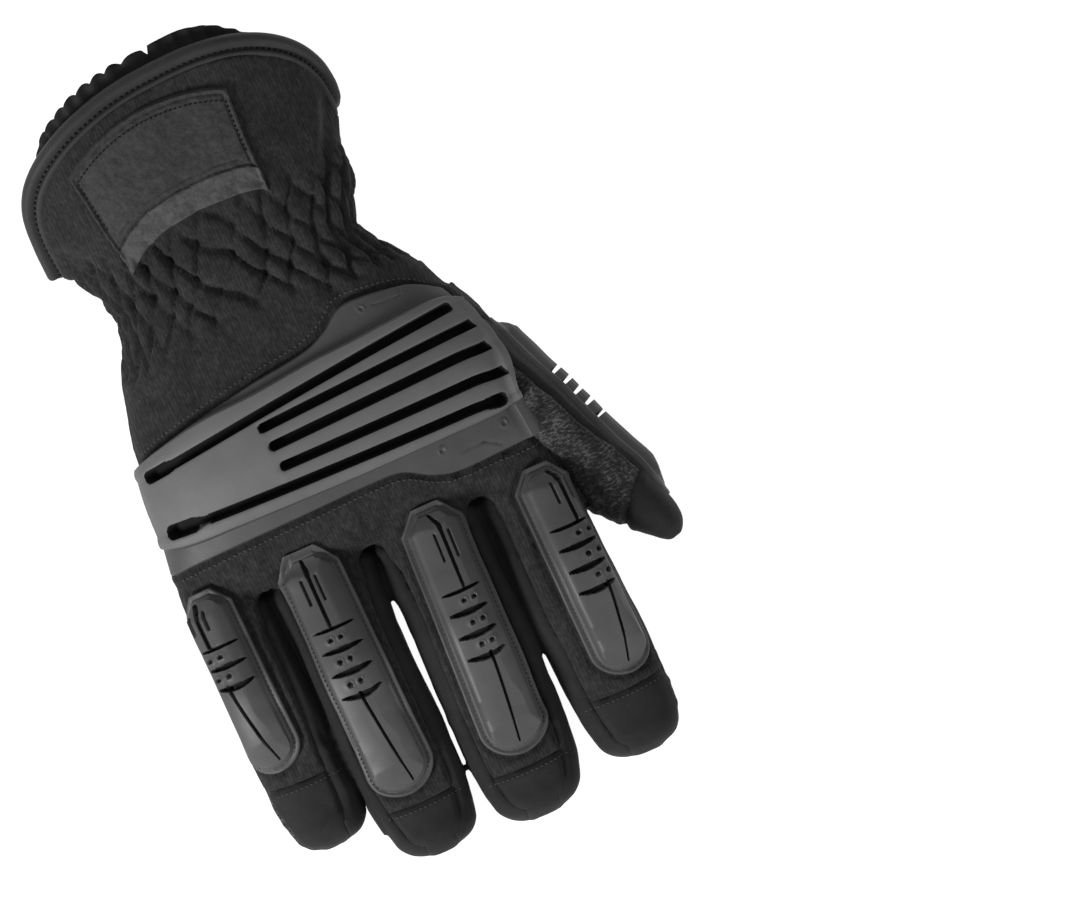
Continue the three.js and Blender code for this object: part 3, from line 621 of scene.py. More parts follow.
def face_pairs(faces):
    """Edges that two faces share, and those faces."""
    sides = np.concatenate([faces[:, [k, (k + 1) % 4]] for k in range(4)])
    owner = np.tile(np.arange(len(faces)), 4)
    sides = np.sort(sides, axis=1)
    order = np.lexsort((sides[:, 1], sides[:, 0]))
    sides, owner = sides[order], owner[order]
    same = np.flatnonzero((sides[1:] == sides[:-1]).all(1))
    return sides[same], owner[same], owner[same + 1]


def relax(points, edges, times, share=0.5, back=-0.52):
    """Evens out a mesh without shrinking it: each pass averages, and then steps back."""
    count = len(points)
    degree = np.bincount(edges.ravel(), minlength=count)[:, None]
    for _ in range(times):
        for weight in (share, back):
            total = np.zeros_like(points)
            for axis in range(3):
                total[:, axis] = np.bincount(edges[:, 0], points[edges[:, 1], axis], count)
                total[:, axis] += np.bincount(edges[:, 1], points[edges[:, 0], axis], count)
            points = points + weight * (total / np.maximum(degree, 1) - points)
    return points


def snap(points, normals, chosen, field, limit=0.9):
    """Slides chosen points over the surface to where a field is zero."""
    step = 0.05
    for _ in range(3):
        here = points[chosen]
        value = field(here)
        slope = np.empty_like(here)
        for axis in range(3):
            nudge = np.zeros(3)
            nudge[axis] = step
            slope[:, axis] = (field(here + nudge) - field(here - nudge)) / (2 * step)
        n = normals[chosen]
        slope -= np.sum(slope * n, -1, keepdims=True) * n
        move = -value[:, None] * slope / np.maximum(np.sum(slope**2, -1, keepdims=True), 0.05)
        size = np.linalg.norm(move, axis=-1, keepdims=True)
        points[chosen] = here + move * np.minimum(1, limit / np.maximum(size, 1e-9))
    return points


# The skin: one surface over tubes for the hand, fingers and thumb, cut along its seams

# Size of the quads
VOXEL = 0.92
# Half width, half height and half depth of the cloth that fills the start of each gap between two
# fingers, and how far past the gap's start its middle lies
FILL_WIDE, FILL_HIGH, FILL_DEEP, FILL_PAST = 4.2, 5.5, 5, 2


def tube_shares(start, count):
    """Places of rings along a finger or thumb, close together at the tip."""
    tip = 0.9
    near_tip = tip + 0.1 * np.sin(np.linspace(0.1, math.pi / 2, 12))
    return np.concatenate([np.linspace(start, tip, count), near_tip])


def rough_skin():
    """Points and quads of one closed surface over all the tubes."""
    turn = np.linspace(0, 2 * math.pi, 180, endpoint=False)
    past_mouth, far_past = 7.0, 30.0
    stations = [MOUTH_Y - past_mouth, *np.linspace(MOUTH_Y, PALM_TO_WEB - 1.5, 90), PALM_TO_WEB]
    rings = [body_point(y, turn) for y in stations]
    tubes = [loft([rings[0] - [0, far_past, 0], *rings])]
    turn = np.linspace(0, 2 * math.pi, 80, endpoint=False)
    for finger in FINGERS:
        tubes.append(loft([finger_point(finger, share, turn) for share in tube_shares(-0.2, 60)]))
    tubes.append(loft([thumb_point(share, turn) for share in tube_shares(0, 50)]))
    level, reach = WEB_HEIGHT * 0.42, np.sin(np.linspace(-1.45, 1.45, 12))
    ring = np.stack([FILL_WIDE * np.cos(turn), 0 * turn, FILL_HIGH * np.sin(turn)], -1)
    for x, y in CROTCHES:
        places = [[x, y + FILL_PAST + FILL_DEEP * r, level] for r in reach]
        tubes.append(loft([ring * math.sqrt(1 - r * r) + at for r, at in zip(reach, places)]))
    mesh = make_mesh("rough_skin", *join(tubes), [])
    work = bpy.data.objects.new("rough_skin", mesh)
    scene.collection.objects.link(work)
    remesh = work.modifiers.new("remesh", "REMESH")
    remesh.mode = "VOXEL"
    remesh.voxel_size = VOXEL * MM
    done = work.evaluated_get(bpy.context.evaluated_depsgraph_get()).to_mesh()
    points = np.empty(len(done.vertices) * 3)
    done.vertices.foreach_get("co", points)
    corners = np.empty(len(done.loops), np.int32)
    done.loops.foreach_get("vertex_index", corners)
    work.to_mesh_clear()
    bpy.data.objects.remove(work)
    bpy.data.meshes.remove(mesh)
    return points.reshape(-1, 3) / MM, corners.reshape(-1, 4).astype(int)


def lay_flat(points):
    """The cloth is pressed flat where it rests on the floor."""
    soft = 0.8
    z = points[:, 2]
    points[:, 2] = np.where(z < soft, soft * np.exp(np.minimum(0, z - soft) / soft) * 0.98 + 0.016, z)
    return points


def cut_mouth(points, faces):
    inside = mouth_field(points[faces].mean(1)) > 0
    border = np.intersect1d(faces[inside], faces[~inside])
    points = snap(points, point_normals(points, faces), border, mouth_field)
    faces = faces[inside]
    used, index = np.unique(faces, return_inverse=True)
    return points[used], index.reshape(-1, 4)


PANELS = ["back_panel", "palm_panel", "cuff_palm"]
PAIRS = list(zip(FINGERS[:-1], FINGERS[1:]))
STRIPS = [f"side_strip_{a['name']}_{b['name']}" for a, b in PAIRS]
CAPS = [f"fingertip_{finger['name']}" for finger in FINGERS]
PANELS += [*STRIPS, *CAPS, "thumb_back", "thumb_palm"]
NUMBER = {name: i for i, name in enumerate(PANELS)}


def label_faces(points, faces):
    middle = points[faces].mean(1)
    above = side_field(middle) > 0
    label = np.where(above, NUMBER["back_panel"], NUMBER["palm_panel"])
    label[~above & (palm_field(middle) < 0)] = NUMBER["cuff_palm"]
    for name, finger in zip(CAPS, FINGERS):
        label[above & (cap_field(finger)(middle) > 0)] = NUMBER[name]
    for name, (a, b) in zip(STRIPS, PAIRS):
        label[strip_field(a, b)(middle) > 0] = NUMBER[name]
    thumb = thumb_field(middle) > 0
    outer = thumb_seam_field(middle) > 0
    label[thumb & outer] = NUMBER["thumb_back"]
    label[thumb & ~outer] = NUMBER["thumb_palm"]
    return label


def seam_rules():
    thumb = ["thumb_back", "thumb_palm"]
    hand = [name for name in PANELS if name not in thumb]
    upper = ["back_panel", *CAPS]
    yield upper, ["palm_panel", "cuff_palm"], side_field
    yield ["palm_panel"], ["cuff_palm"], palm_field
    for name, finger in zip(CAPS, FINGERS):
        yield [name], ["back_panel"], cap_field(finger)
    for name, (a, b) in zip(STRIPS, PAIRS):
        yield [name], [n for n in hand if n != name], strip_field(a, b)
    yield thumb, hand, thumb_field
    yield ["thumb_back"], ["thumb_palm"], thumb_seam_field


def draw_seams(points, faces, label):
    """Moves the mesh's points onto the seams, and returns which points lie on one."""
    sides, one, other = face_pairs(faces)
    normals = point_normals(points, faces)
    on_seam = np.zeros(len(points), bool)
    for first, second, field in seam_rules():
        a, b = [[NUMBER[n] for n in names] for names in (first, second)]
        between = (np.isin(label[one], a) & np.isin(label[other], b)) | (
            np.isin(label[one], b) & np.isin(label[other], a)
        )
        chosen = np.unique(sides[between])
        if len(chosen):
            points = snap(points, normals, chosen, field)
            on_seam[chosen] = True
    return points, on_seam


def nearest(points, targets):
    """Distance from each point to the nearest of the targets."""
    tree = KDTree(len(targets))
    for i, target in enumerate(targets):
        tree.insert(target, i)
    tree.balance()
    return np.array([tree.find(p)[2] for p in points])


def line_distance(points, line):
    """Distance in plan from points to a line of corners."""
    best = np.full(len(points), 1e9)
    corners = np.asarray(line, float)
    for a, b in zip(corners[:-1], corners[1:]):
        run = b - a
        t = np.clip((points[:, :2] - a) @ run / (run @ run), 0, 1)
        best = np.minimum(best, np.linalg.norm(points[:, :2] - a - t[:, None] * run, axis=1))
    return best


# Folds on the back of the glove: corners in plan, depth, half width
BACK_FOLDS = [
    ([(-26, -62), (-31, -73), (-34, -80), (-39, -90)], 1.3, 1.7),
    ([(-22, -58), (-20, -70), (-18, -82)], 0.7, 2.2),
    ([(40, -60), (46, -72), (52, -80)], 1.1, 1.8),
    ([(33, -58), (42, -70)], 0.9, 1.4),
    ([(40, -55), (50, -58)], 0.9, 1.5),
    ([(24, -48), (33, -38), (45, -30)], 0.9, 1.9),
    ([(38, -47), (48, -39)], 1.0, 1.6),
    ([(-8, -52), (-12, -42), (-19, -36)], 0.6, 1.8),
    ([(-27, -50), (-34, -44)], 0.7, 1.5),
    ([(-38, 45), (-35, 70), (-35, 96)], 0.5, 1.3),
    ([(-26, 60), (-26, 84), (-24, 100)], 0.5, 1.4),
    ([(-2, 42), (0, 66), (1.5, 92)], 0.6, 1.4),
    ([(9, 48), (8.6, 72), (9, 96)], 0.5, 1.3),
    ([(33, 44), (33.5, 66), (32, 90)], 0.5, 1.3),
    ([(42, 48), (42, 62), (40, 84)], 0.5, 1.4),
]
# Folds on the palm side, in plan
PALM_FOLDS = [
    ([(-52, 22), (-30, 27), (0, 28), (30, 26), (56, 18)], 1.2, 1.8),
    ([(-54, 6), (-35, 4), (-10, -2), (20, 0), (56, 6)], 1.1, 2.2),
    ([(-44, -6), (-28, -2), (-16, -14), (-14, -34)], 1.2, 2.4),
    ([(-30, -44), (-8, -47), (20, -46), (42, -48)], 0.9, 2.0),
    ([(-46, 62), (-30, 63)], 0.8, 1.5),
    ([(-24, 66), (-4, 67)], 0.8, 1.5),
    ([(10, 65), (32, 64)], 0.8, 1.5),
    ([(40, 58), (60, 58)], 0.8, 1.5),
]
# Puckers at the wrist: pitch round and along it, their middle along the hand, depth, half width
GATHER_PITCH, GATHER_RUN, GATHER_Y, GATHER_DEPTH, GATHER_HALF = 7.6, 17.0, -58, 2.4, 0.8


def wrist_gathers(points):
    """Crossing puckers round the wrist, which fade towards the hand and the cuff."""
    x, y, z = points.T
    shift, wide, level, up, down = hermite(BODY, y).T
    dz = z - level
    high = rounded(dz / np.where(dz > 0, up, down), 4 / BODY_POWER)
    turn = np.arctan2(high, rounded((x - shift) / wide, 4 / BODY_POWER))
    drift = noise(points, 13, 3)
    along = y + 3.2 * drift - GATHER_Y
    s = turn * 34.0 + 1.6 * noise(points, 8, 4)
    fade = ease((along + 20) / 8) * ease((22 - along) / 10)
    total = np.zeros(len(points))
    slope = math.hypot(1 / GATHER_PITCH, 1 / GATHER_RUN)
    for way, seed in ((1, 5), (-1, 6)):
        phase = s / GATHER_PITCH + way * along / GATHER_RUN
        away = np.abs(phase - np.round(phase)) / slope
        strength = 0.75 + 0.55 * noise(points, 9, seed)
        total -= GATHER_DEPTH * strength * bell(away, 0, GATHER_HALF)
        total += 0.2 * np.cos(2 * math.pi * (phase - 0.5))
    return fade * total


def past_tips(points):
    """How far points lie past a place 10 mm before their fingertip; below 0 elsewhere."""
    x, y, _ = points.T
    past = np.full(len(points), -1e3)
    for finger in FINGERS:
        centre = finger_centre(finger, 1.0)[0]
        beside = np.abs(x - centre) < finger["width"] * 0.55
        reach = y - PALM_TO_WEB - finger["length"] + 10
        past = np.where(beside, np.maximum(past, reach), past)
    return past


def cloth_relief(points, on_seam, label):
    """How far the cloth stands out from its plain form."""
    x, y, z = points.T
    back = side_field(points) > 0
    under_guard = ease((y + 34) / 6) * ease((30 - y) / 8) * back * ease((z - 30) / 6)
    loose = 1 - 0.85 * under_guard
    waves = 0.42 * noise(points, 17, 1) + 0.24 * noise(points, 7.5, 2) + 0.1 * noise(points, 3.6, 7)
    relief = loose * waves + wrist_gathers(points)
    cuff = ease((-60 - y) / 8) * ease((y + 112) / 20)
    lengthwise = points * np.array([1, 0.22, 1])
    relief += cuff * 0.75 * noise(lengthwise, 7.5, 8)
    for folds, where in ((BACK_FOLDS, back), (PALM_FOLDS, ~back)):
        for line, depth, width in folds:
            away = line_distance(points, line)
            lips = 0.45 * bell(away, 2.3 * width, 1.2 * width)
            relief += where * depth * (-bell(away, 0, width) + lips)
    for cx, cy in CROTCHES:
        away = np.hypot(x - cx, y - cy)
        turn = np.arctan2(y - cy, x - cx)
        relief += 0.45 * np.cos(7 * turn + cx) * bell(away, 7, 4.5)
    thumb = np.isin(label, [NUMBER["thumb_back"], NUMBER["thumb_palm"]])
    rough = np.isin(label, [NUMBER["thumb_palm"], NUMBER["palm_panel"]])
    relief += 0.35 * thumb * noise(points, 6, 9)
    relief += 0.3 * rough * noise(points, 2.3, 10)
    tip = ease(past_tips(points) / 5)
    away = nearest(points, points[on_seam])
    seam = -0.85 * bell(away, 0, 0.95) + 0.28 * bell(away, 2.4, 1.1)
    relief += seam * (1 - 0.85 * tip) + 0.7 * tip
    away = nearest(points, plate_edges())
    relief -= 1.0 * bell(np.maximum(0, away - 0.4), 0, 0.7)
    return relief


def make_skin():
    points, faces = rough_skin()
    edges = face_pairs(faces)[0]
    points = relax(points, edges, 5)
    points = lay_flat(points)
    points, faces = cut_mouth(points, faces)
    label = label_faces(points, faces)
    points, on_seam = draw_seams(points, faces, label)
    point_label = np.zeros(len(points), int)
    point_label[faces.ravel()] = np.repeat(label, 4)
    normals = point_normals(points, faces)
    points = points + normals * cloth_relief(points, on_seam, point_label)[:, None]
    points[:, 2] = np.maximum(points[:, 2], FLOOR_GAP)
    return points, faces, label


def panel_shell(points, faces, normals):
    """A wall of cloth: the outer faces, the same faces one wall further in, and its edges."""
    used, index = np.unique(faces, return_inverse=True)
    quads = index.reshape(-1, 4)
    count = len(used)
    outer = points[used]
    inner = outer - normals[used] * CLOTH
    inner[:, 2] = np.maximum(inner[:, 2], 0.03 + 0.5 * CLOTH * (outer[:, 2] < 4))
    a = np.concatenate([quads[:, k] for k in range(4)])
    b = np.concatenate([quads[:, (k + 1) % 4] for k in range(4)])
    free = ~np.isin(a * count + b, b * count + a)
    a, b = a[free], b[free]
    rim = np.stack([b, a, a + count, b + count], -1)
    return np.concatenate([outer, inner]), np.concatenate([quads, quads[:, ::-1] + count, rim])


# Plates moulded or sewn onto the cloth

# How far from its first place a plate's point may lie from the cloth
REACH = 12.0


def blur(grid, times):
    """Evens out a grid of heights, whose edges stay free."""
    for _ in range(times):
        wide = np.pad(grid, 1, mode="edge")
        middle = wide[1:-1, 1:-1] * 2 + wide[:-2, 1:-1] + wide[2:, 1:-1]
        grid = (middle + wide[1:-1, :-2] + wide[1:-1, 2:]) / 6
    return grid


def seat(points, normals, times=30, most=REACH):
    """Moves a grid of points along their normals onto the cloth, with the small folds evened out."""
    flat, ways = points.reshape(-1, 3), normals.reshape(-1, 3)
    offset = np.zeros(len(flat))
    for i, (p, n) in enumerate(zip(flat, ways)):
        hit = skin_tree.ray_cast(Vector(p + n * REACH), Vector(-n), REACH * 2)
        if hit[0] is not None:
            offset[i] = min(most, REACH - hit[3])
    offset = blur(offset.reshape(points.shape[:2]), times)
    return points + normals * offset[..., None]


def plate(points, normals, heights, base):
    """A closed plate: heights above a grid of points, a wall round it and a coarse underside."""
    rows, columns = heights.shape
    top = points + normals * heights[..., None]
    low = points + normals * base
    index = np.arange(rows * columns).reshape(rows, columns)
    faces = np.stack([index[:-1, :-1], index[:-1, 1:], index[1:, 1:], index[1:, :-1]], -1).reshape(-1, 4)
    faces = [tuple(face) for face in faces.tolist()]
    step = 8
    coarse_rows = sorted({*range(0, rows, step), rows - 1})
    coarse_columns = sorted({*range(0, columns, step), columns - 1})
    bottom = {}
    extra = []

    def under(r, c):
        if (r, c) not in bottom:
            bottom[(r, c)] = rows * columns + len(extra)
            extra.append(low[r, c])
        return bottom[(r, c)]

    def along(fixed, start, end, is_row):
        on_edge = fixed in ((0, rows - 1) if is_row else (0, columns - 1))
        way = 1 if end > start else -1
        stops = range(start, end, way) if on_edge else [start]
        return [under(fixed, k) if is_row else under(k, fixed) for k in stops]

    for r0, r1 in zip(coarse_rows[:-1], coarse_rows[1:]):
        for c0, c1 in zip(coarse_columns[:-1], coarse_columns[1:]):
            loop = along(r0, c0, c1, True) + along(c1, r0, r1, False)
            loop += along(r1, c1, c0, True) + along(c0, r1, r0, False)
            faces.append(tuple(reversed(loop)))
    border = [(0, c) for c in range(columns)] + [(r, columns - 1) for r in range(1, rows)]
    border += [(rows - 1, c) for c in range(columns - 2, -1, -1)]
    border += [(r, 0) for r in range(rows - 2, 0, -1)]
    for p, q in zip(border, border[1:] + border[:1]):
        faces.append((int(index[p]), int(index[q]), under(*q), under(*p)))
    return np.concatenate([top.reshape(-1, 3), np.array(extra)]), faces


def outline_distance(x, y, line):
    """Distance from places in the plane to a closed line of corners."""
    best = np.full(x.shape, 1e9)
    corners = np.asarray(line, float)
    for a, b in zip(corners, np.roll(corners, -1, axis=0)):
        run = b - a
        t = np.clip(((x - a[0]) * run[0] + (y - a[1]) * run[1]) / max(run @ run, 1e-12), 0, 1)
        best = np.minimum(best, np.hypot(x - a[0] - t * run[0], y - a[1] - t * run[1]))
    return best


def edge_rise(distance, radius):
    """A round edge: 0 at the outline and 1 from the radius inwards."""
    t = np.clip(distance / radius, 0, 1)
    return np.sqrt(np.maximum(0, 1 - (1 - t) ** 2))


def plate_piece(name, node, points, normals, heights, base, materials, tones):
    """A moulded plate whose top faces take a material by tone: 0, 1 or 2, where 1 is painted shade in its
    slots and grooves.
    """
    mesh_points, faces = plate(points, normals, heights, base)
    rows, columns = heights.shape
    index = np.zeros(len(faces), np.int32)
    index[: (rows - 1) * (columns - 1)] = tones.ravel()
    mesh = make_mesh(name, mesh_points, faces, materials, index, sharp=38, recalculate=True)
    return add_piece(name, mesh, "guard_rubber", node)


def cell_means(grid):
    """The mean of each grid cell's four corners."""
    return (grid[:-1, :-1] + grid[1:, :-1] + grid[:-1, 1:] + grid[1:, 1:]) / 4


# Knuckle guard: edges and ridge, in shares of the hand's half width and of palm to web.
# across, low edge, high edge, low and high side of the ridge
KNUCKLE_ROWS = [
    (-0.95, -0.7, 0.711, -0.5, 0.37),
    (-0.92, -0.745, 0.715, -0.56, 0.38),
    (-0.88, -0.8, 0.72, -0.61, 0.395),
    (-0.8, -0.86, 0.73, -0.63, 0.41),
    (-0.52, -0.92, 0.735, -0.62, 0.41),
    (-0.4, -0.9, 0.68, -0.61, 0.41),
    (-0.26, -0.78, 0.56, -0.6, 0.41),
    (-0.1, -0.69, 0.54, -0.59, 0.41),
    (0.26, -0.62, 0.55, -0.54, 0.4),
    (0.6, -0.53, 0.56, -0.51, 0.39),
    (0.86, -0.44, 0.57, -0.43, 0.38),
    (1, -0.36, 0.58, -0.35, 0.33),
]
# Slots: across from and to, place at the start and the end, and drift past the end
SLOT_ROWS = [
    (-0.845, 0.905, -0.515, -0.25, 0.0),
    (-0.878, 0.3, -0.32, -0.25, 8.0),
    (-0.876, 0.29, -0.125, -0.085, 4.5),
    (-0.882, 0.28, 0.095, 0.09, 1.0),
    (-0.832, 0.89, 0.295, 0.235, 0.0),
]
# Heights of the plates' rim, the flange and the ridge, half a slot's width, and its floor's height
RIM, FLANGE, RIDGE, SLOT_HALF, SLOT_FLOOR = 0.3, 1.9, 5.1, 1.36, 0.5
# How far the undersides of the plates lie in the cloth
KNUCKLE_BASE, FINGER_BASE, PATCH_BASE = -1.2, -1.0, -0.8


def slot_line(row, across):
    start, end, low, high, drift = row
    t = np.clip((across - start) / (end - start), 0, 1)
    sag = (t - 1) * t * 0.1 * (low - high)
    hook = 0.8 * ease((low + 0.5) / 0.6) * bell(across, start, 0.08)
    y = PALM_TO_WEB * (low + (high - low) * t**1.4 + sag) + hook
    return y + drift * np.maximum(0, across - end)


def knuckle_lines(across):
    """Places along the hand of the guard's edges, ridge sides and slots, from low to high."""
    low, high, ridge_low, ridge_high = np.moveaxis(hermite(KNUCKLE_ROWS, across), -1, 0) * PALM_TO_WEB
    slots = [slot_line(row, across) for row in SLOT_ROWS]
    ridge_low = np.maximum(ridge_low, low + 0.5)
    return [low, ridge_low, *slots, ridge_high, high]


def knuckle_rows(lines):
    """Rows of a grid that follow the lines, close together where the surface turns."""
    near_edge = [0.1, 0.25, 0.45, 0.7, 1.0]
    near_ridge = [0.25, 0.6, 1.0]
    near_slot = [0.6, 1.05, 1.22, 1.34, 1.5, 1.75]
    near_hollow = [0.6, 1.05, 1.22, 1.34, 1.5, 1.8, 2.05, 2.3]
    offsets = [near_edge, near_ridge, *[near_slot] * 4, near_hollow, near_ridge, near_edge]
    gaps = [high - low for low, high in zip(lines[:-1], lines[1:])]
    needs = [a[-1] + b[-1] for a, b in zip(offsets[:-1], offsets[1:])]
    squeeze = [np.minimum(1, 0.92 * gap / need) for gap, need in zip(gaps, needs)]
    rows = []
    for k, (line, near) in enumerate(zip(lines, offsets)):
        block = [line - offset * squeeze[k - 1] for offset in reversed(near)] if k > 0 else []
        block.append(line)
        if k + 1 < len(lines):
            block += [line + offset * squeeze[k] for offset in near]
        if rows:
            last, first = rows[-1], block[0]
            count = int(np.max(first - last) / 0.5)
            rows += [last + (first - last) * (i + 1) / (count + 1) for i in range(count)]
        rows += block
    return np.array(rows)


def slot_half(number, s, start, end):
    """Half the width of a slot along the guard. The last has a hollow past a narrow neck."""
    half = np.full(s.shape, SLOT_HALF)
    if number == 0:
        half += 0.4 * ease((s - end + 8) / 3)
    if number == 4:
        half += 0.8 * ease((s - end + 9) / 3.5) - 0.25 * bell(s - end + 10.4, 0, 1.2)
        half += 0.5 * ease((start + 5 - s) / 4)
    return half


# Marks on the guard's flange: rings, and fine grooved lines, by x and y
RING_MARKS = [(-47.2, 18.6), (-28.0, 18.6), (-29.2, -29.4)]
LINE_MARKS = [
    [(-44.6, 24.2), (-40, 21.2), (-33, 21.2)],
    [(-33.4, -28.9), (-42.4, -28.2), (-44.0, -30.6)],
]


def guard_marks(height, s, y, place):
    """Heights of the guard with its rings and fine lines."""
    for mark_x, mark_y in RING_MARKS:
        away = np.hypot(s - place(mark_x), y - mark_y)
        height = height + (0.3 * bell(away, 1.1, 0.3) - 0.45 * bell(away, 0, 0.6))
    for corners in LINE_MARKS:
        spots = [(place(mark_x), mark_y) for mark_x, mark_y in corners]
        for pair in zip(spots[:-1], spots[1:]):
            height = height - 0.4 * bell(outline_distance(s, y, pair), 0, 0.3)
    return height


def make_knuckle_guard():
    first, last = angle_of(KNUCKLE_ROWS[0][0]), angle_of(KNUCKLE_ROWS[-1][0])
    angle = np.linspace(first, last, 3000)
    ring = body_point(0.0, angle)
    arc = arc_length(ring)
    shares = rounded(np.cos(angle), BODY_POWER)

    def at(share):
        return np.interp(share, shares, arc)

    s = np.concatenate(
        [
            np.arange(0, at(-0.905), 0.3),
            np.arange(at(-0.905), at(-0.82), 0.13),
            np.arange(at(-0.82), at(0.265), 0.42),
            np.arange(at(0.265), at(0.315), 0.15),
            np.arange(at(0.315), at(0.86), 0.4),
            np.linspace(at(0.86), arc[-1], 95),
        ]
    )
    lines = knuckle_lines(np.interp(s, arc, shares))
    y = knuckle_rows(lines)
    s_grid = s + 1.3 * bell(y, 10, 8) * np.clip(1 - s / 10, 0, 1)
    across = np.interp(s, arc, shares)
    points, normals = body_frame(y, np.interp(s_grid, arc, angle))
    points = seat(points, normals, 300)
    low, ridge_low, *slots, ridge_high, high = lines

    edge = np.minimum.reduce([y - low, high - y, s + 0.12 + 0 * y, s[-1] - s_grid + 0.12])
    sides = np.minimum((s - 0.3 - 0.9 * ease((y - 3) / 6)) / 1.3, (s[-1] - s_grid - 0.6) / 3.2)
    rise = ease(np.minimum.reduce([(y - ridge_low + 0.7) / 1.2, (ridge_high + 0.9 - y) / 1.3, sides]))
    less = 1 - 0.45 * ease((s_grid - s[-1] + 9) / 9)
    height = RIM + (FLANGE - RIM) * edge_rise(edge, 0.75) + (RIDGE - FLANGE) * rise * less
    stops = [ridge_low, *slots, ridge_high]
    for number, (start, end) in enumerate(zip(stops[:-1], stops[1:])):
        share = np.clip((y - start) / (end - start), 0, 1)
        between = ease((SLOT_ROWS[2][1] + 0.05 - across) / 0.05) if 0 < number < 5 else 1
        height += 0.42 * np.sin(math.pi * share) * rise * between
    bare = np.clip((y - slots[0]) / (slots[4] - slots[0]), 0, 1)
    height += 0.5 * np.sin(math.pi * bare) * rise * ease((across - SLOT_ROWS[2][1]) / 0.05)

    # dark marks the floors of the slots, which take painted shade: tone 1, a near-black material standing
    # in for the shade down in the slots
    dark = np.zeros_like(height)
    for number, (row, line) in enumerate(zip(SLOT_ROWS, slots)):
        start, end = np.interp(row[:2], across, s)
        half = slot_half(number, s_grid, start, end)
        past = np.maximum(0, np.maximum(start - s_grid, s_grid - end))
        away = np.hypot(y - line, past) - half
        if number in (1, 2, 3):
            slant = start - s_grid - 0.9 - 0.25 * (y - line)
            away = np.where(s_grid < start, np.maximum(np.abs(y - line) - half, slant), away)
        inside = 1 - ease((away + 0.1) / 0.2)
        floor = np.full(y.shape, SLOT_FLOOR)
        if number == 4:
            ramp = ease((end - 4.5 - s_grid) / 4.5) * ease((s_grid - end + 11.6) / 1.6)
            floor += 3.9 * ramp * ease((y - line - 0.2) / 1.4)
        height = (height - 0.2 * bell(away, 0, 0.4)) * (1 - inside) + floor * inside
        dark = np.maximum(dark, (away < 0.1) * (floor < SLOT_FLOOR + 1.2))

    height = guard_marks(height, s_grid, y, lambda x: at(x / (PALM_WIDTH / 2)))
    # Tone 2 is the flange, and tone 1 the painted shade in the slots
    tones = np.where(cell_means(rise) < 0.4, 2, 0)
    tones[cell_means(dark) > 0.1] = 1
    looks = [guard_rubber, slot_painted_shade, flange_rubber]
    names = ("knuckle_guard_cover", "knuckle_guard")
    plate_piece(*names, points, normals, height, KNUCKLE_BASE, looks, tones)


# Finger guards, worked out along their length and across it, in millimetres. Across is positive
# towards the little finger's side.

GROOVES = {
    "index": [55.4, 61.6, 67.8, 74.0],
    "middle": [59.8, 65.9, 72.3, 78.6],
    "ring": [54.8, 61.2, 67.7, 74.2],
    "little": [46.2, 52.2, 58.1],
}
# Across: the line of the middle groove, where the tip groove ends, and where the far facet starts
MIDDLE_LINE = {"index": -3.1, "middle": -1.7, "ring": 0.5, "little": 1.8}
TIP_LINE = {"index": 0.2, "middle": 0.2, "ring": -2.4, "little": -1.6}
FACET_LINE = {"index": -4.4, "middle": -3.6, "ring": -2.6, "little": -2.0}
# A guard's width along the round finger, as a share of its width in plan, and how far from its
# edge its raised middle starts
ARC_SHARE, CHANNEL = 1.08, 2.95


def guard_outline(length, half):
    """Half the outline of a guard: a chamfered start and a round end, as (along, half width)."""
    radius = half * 0.98
    tip = length - radius
    turn = np.linspace(0, math.pi / 2, 13)
    end = [(tip + radius * math.sin(t), max(0.4, half * math.cos(t))) for t in turn]
    return [(0, half * 0.42), (half * 0.62, half), (length * 0.5, half)] + end


def groove_line(u, length, grooves, lines):
    """Across, the place of the long groove down the middle of a guard."""
    if lines is None:
        return 0 * u
    middle, tip_end, _ = lines
    kink, last, end = grooves[0] * 0.27, grooves[-1], length - 4.6
    lift = np.maximum(0, kink - u) * (0.1 if middle > 0 else 0.45)
    return middle + lift + (tip_end - middle) * np.clip((u - last) / (end - last), 0, 1) ** 1.2


def guard_grid(length, half, grooves, lines=None):
    """Places along and across a guard. Rows follow its grooves across and columns its long groove."""
    outline = guard_outline(length, half)
    near = np.array([-1.3, -1.0, -0.8, -0.64, -0.5, -0.36, -0.2, 0, 0.2, 0.36, 0.5, 0.64, 0.8, 1.0, 1.3])
    base = np.arange(0, length, 0.42)
    for at in grooves:
        base = base[np.abs(base - at) > 1.5]
    tip = length - np.geomspace(0.02, 0.34, 5)[::-1]
    base = np.concatenate([base[base < tip[0] - 0.1], tip])
    along = np.sort(np.concatenate([base, *[at + near for at in grooves]]))
    width = linear(outline, along)[:, None]
    side = np.array([0, 0.12, 0.3, 0.5, 0.8, 1.1, 1.45, 1.8, 2.2, 2.55, 2.85, 3.1])
    narrow = np.minimum(1, width * 0.5 / side[-1])
    inner = width - side[-1] * narrow
    line = np.clip(groove_line(along, length, grooves, lines)[:, None], -inner * 0.8, inner * 0.8)
    steps = np.array([0.1, 0.22, 0.34, 0.46, 0.62, 0.8, 1.0, 1.2, 1.4, 1.6, 1.8, 2.0, 2.2, 2.4, 2.7])
    offsets = np.concatenate([-steps[::-1], [0], steps])
    room = np.minimum(1, 0.85 * (inner - np.abs(line)) / steps[-1])
    fill = np.linspace(0, 1, 9)[1:-1]
    low, high = line - steps[-1] * room, line + steps[-1] * room
    across = np.concatenate(
        [
            -width + side * narrow,
            -inner + (low + inner) * fill,
            line + offsets * room,
            high + (inner - high) * fill,
            width - side[::-1] * narrow,
        ],
        axis=1,
    )
    along = np.broadcast_to(along[:, None], across.shape)
    shift = np.zeros(across.shape)
    for at in grooves:
        shift += groove_bow(across, at, grooves, half) * (1 - ease((np.abs(along - at) - 1.3) / 1.7))
    return along + shift, across, outline


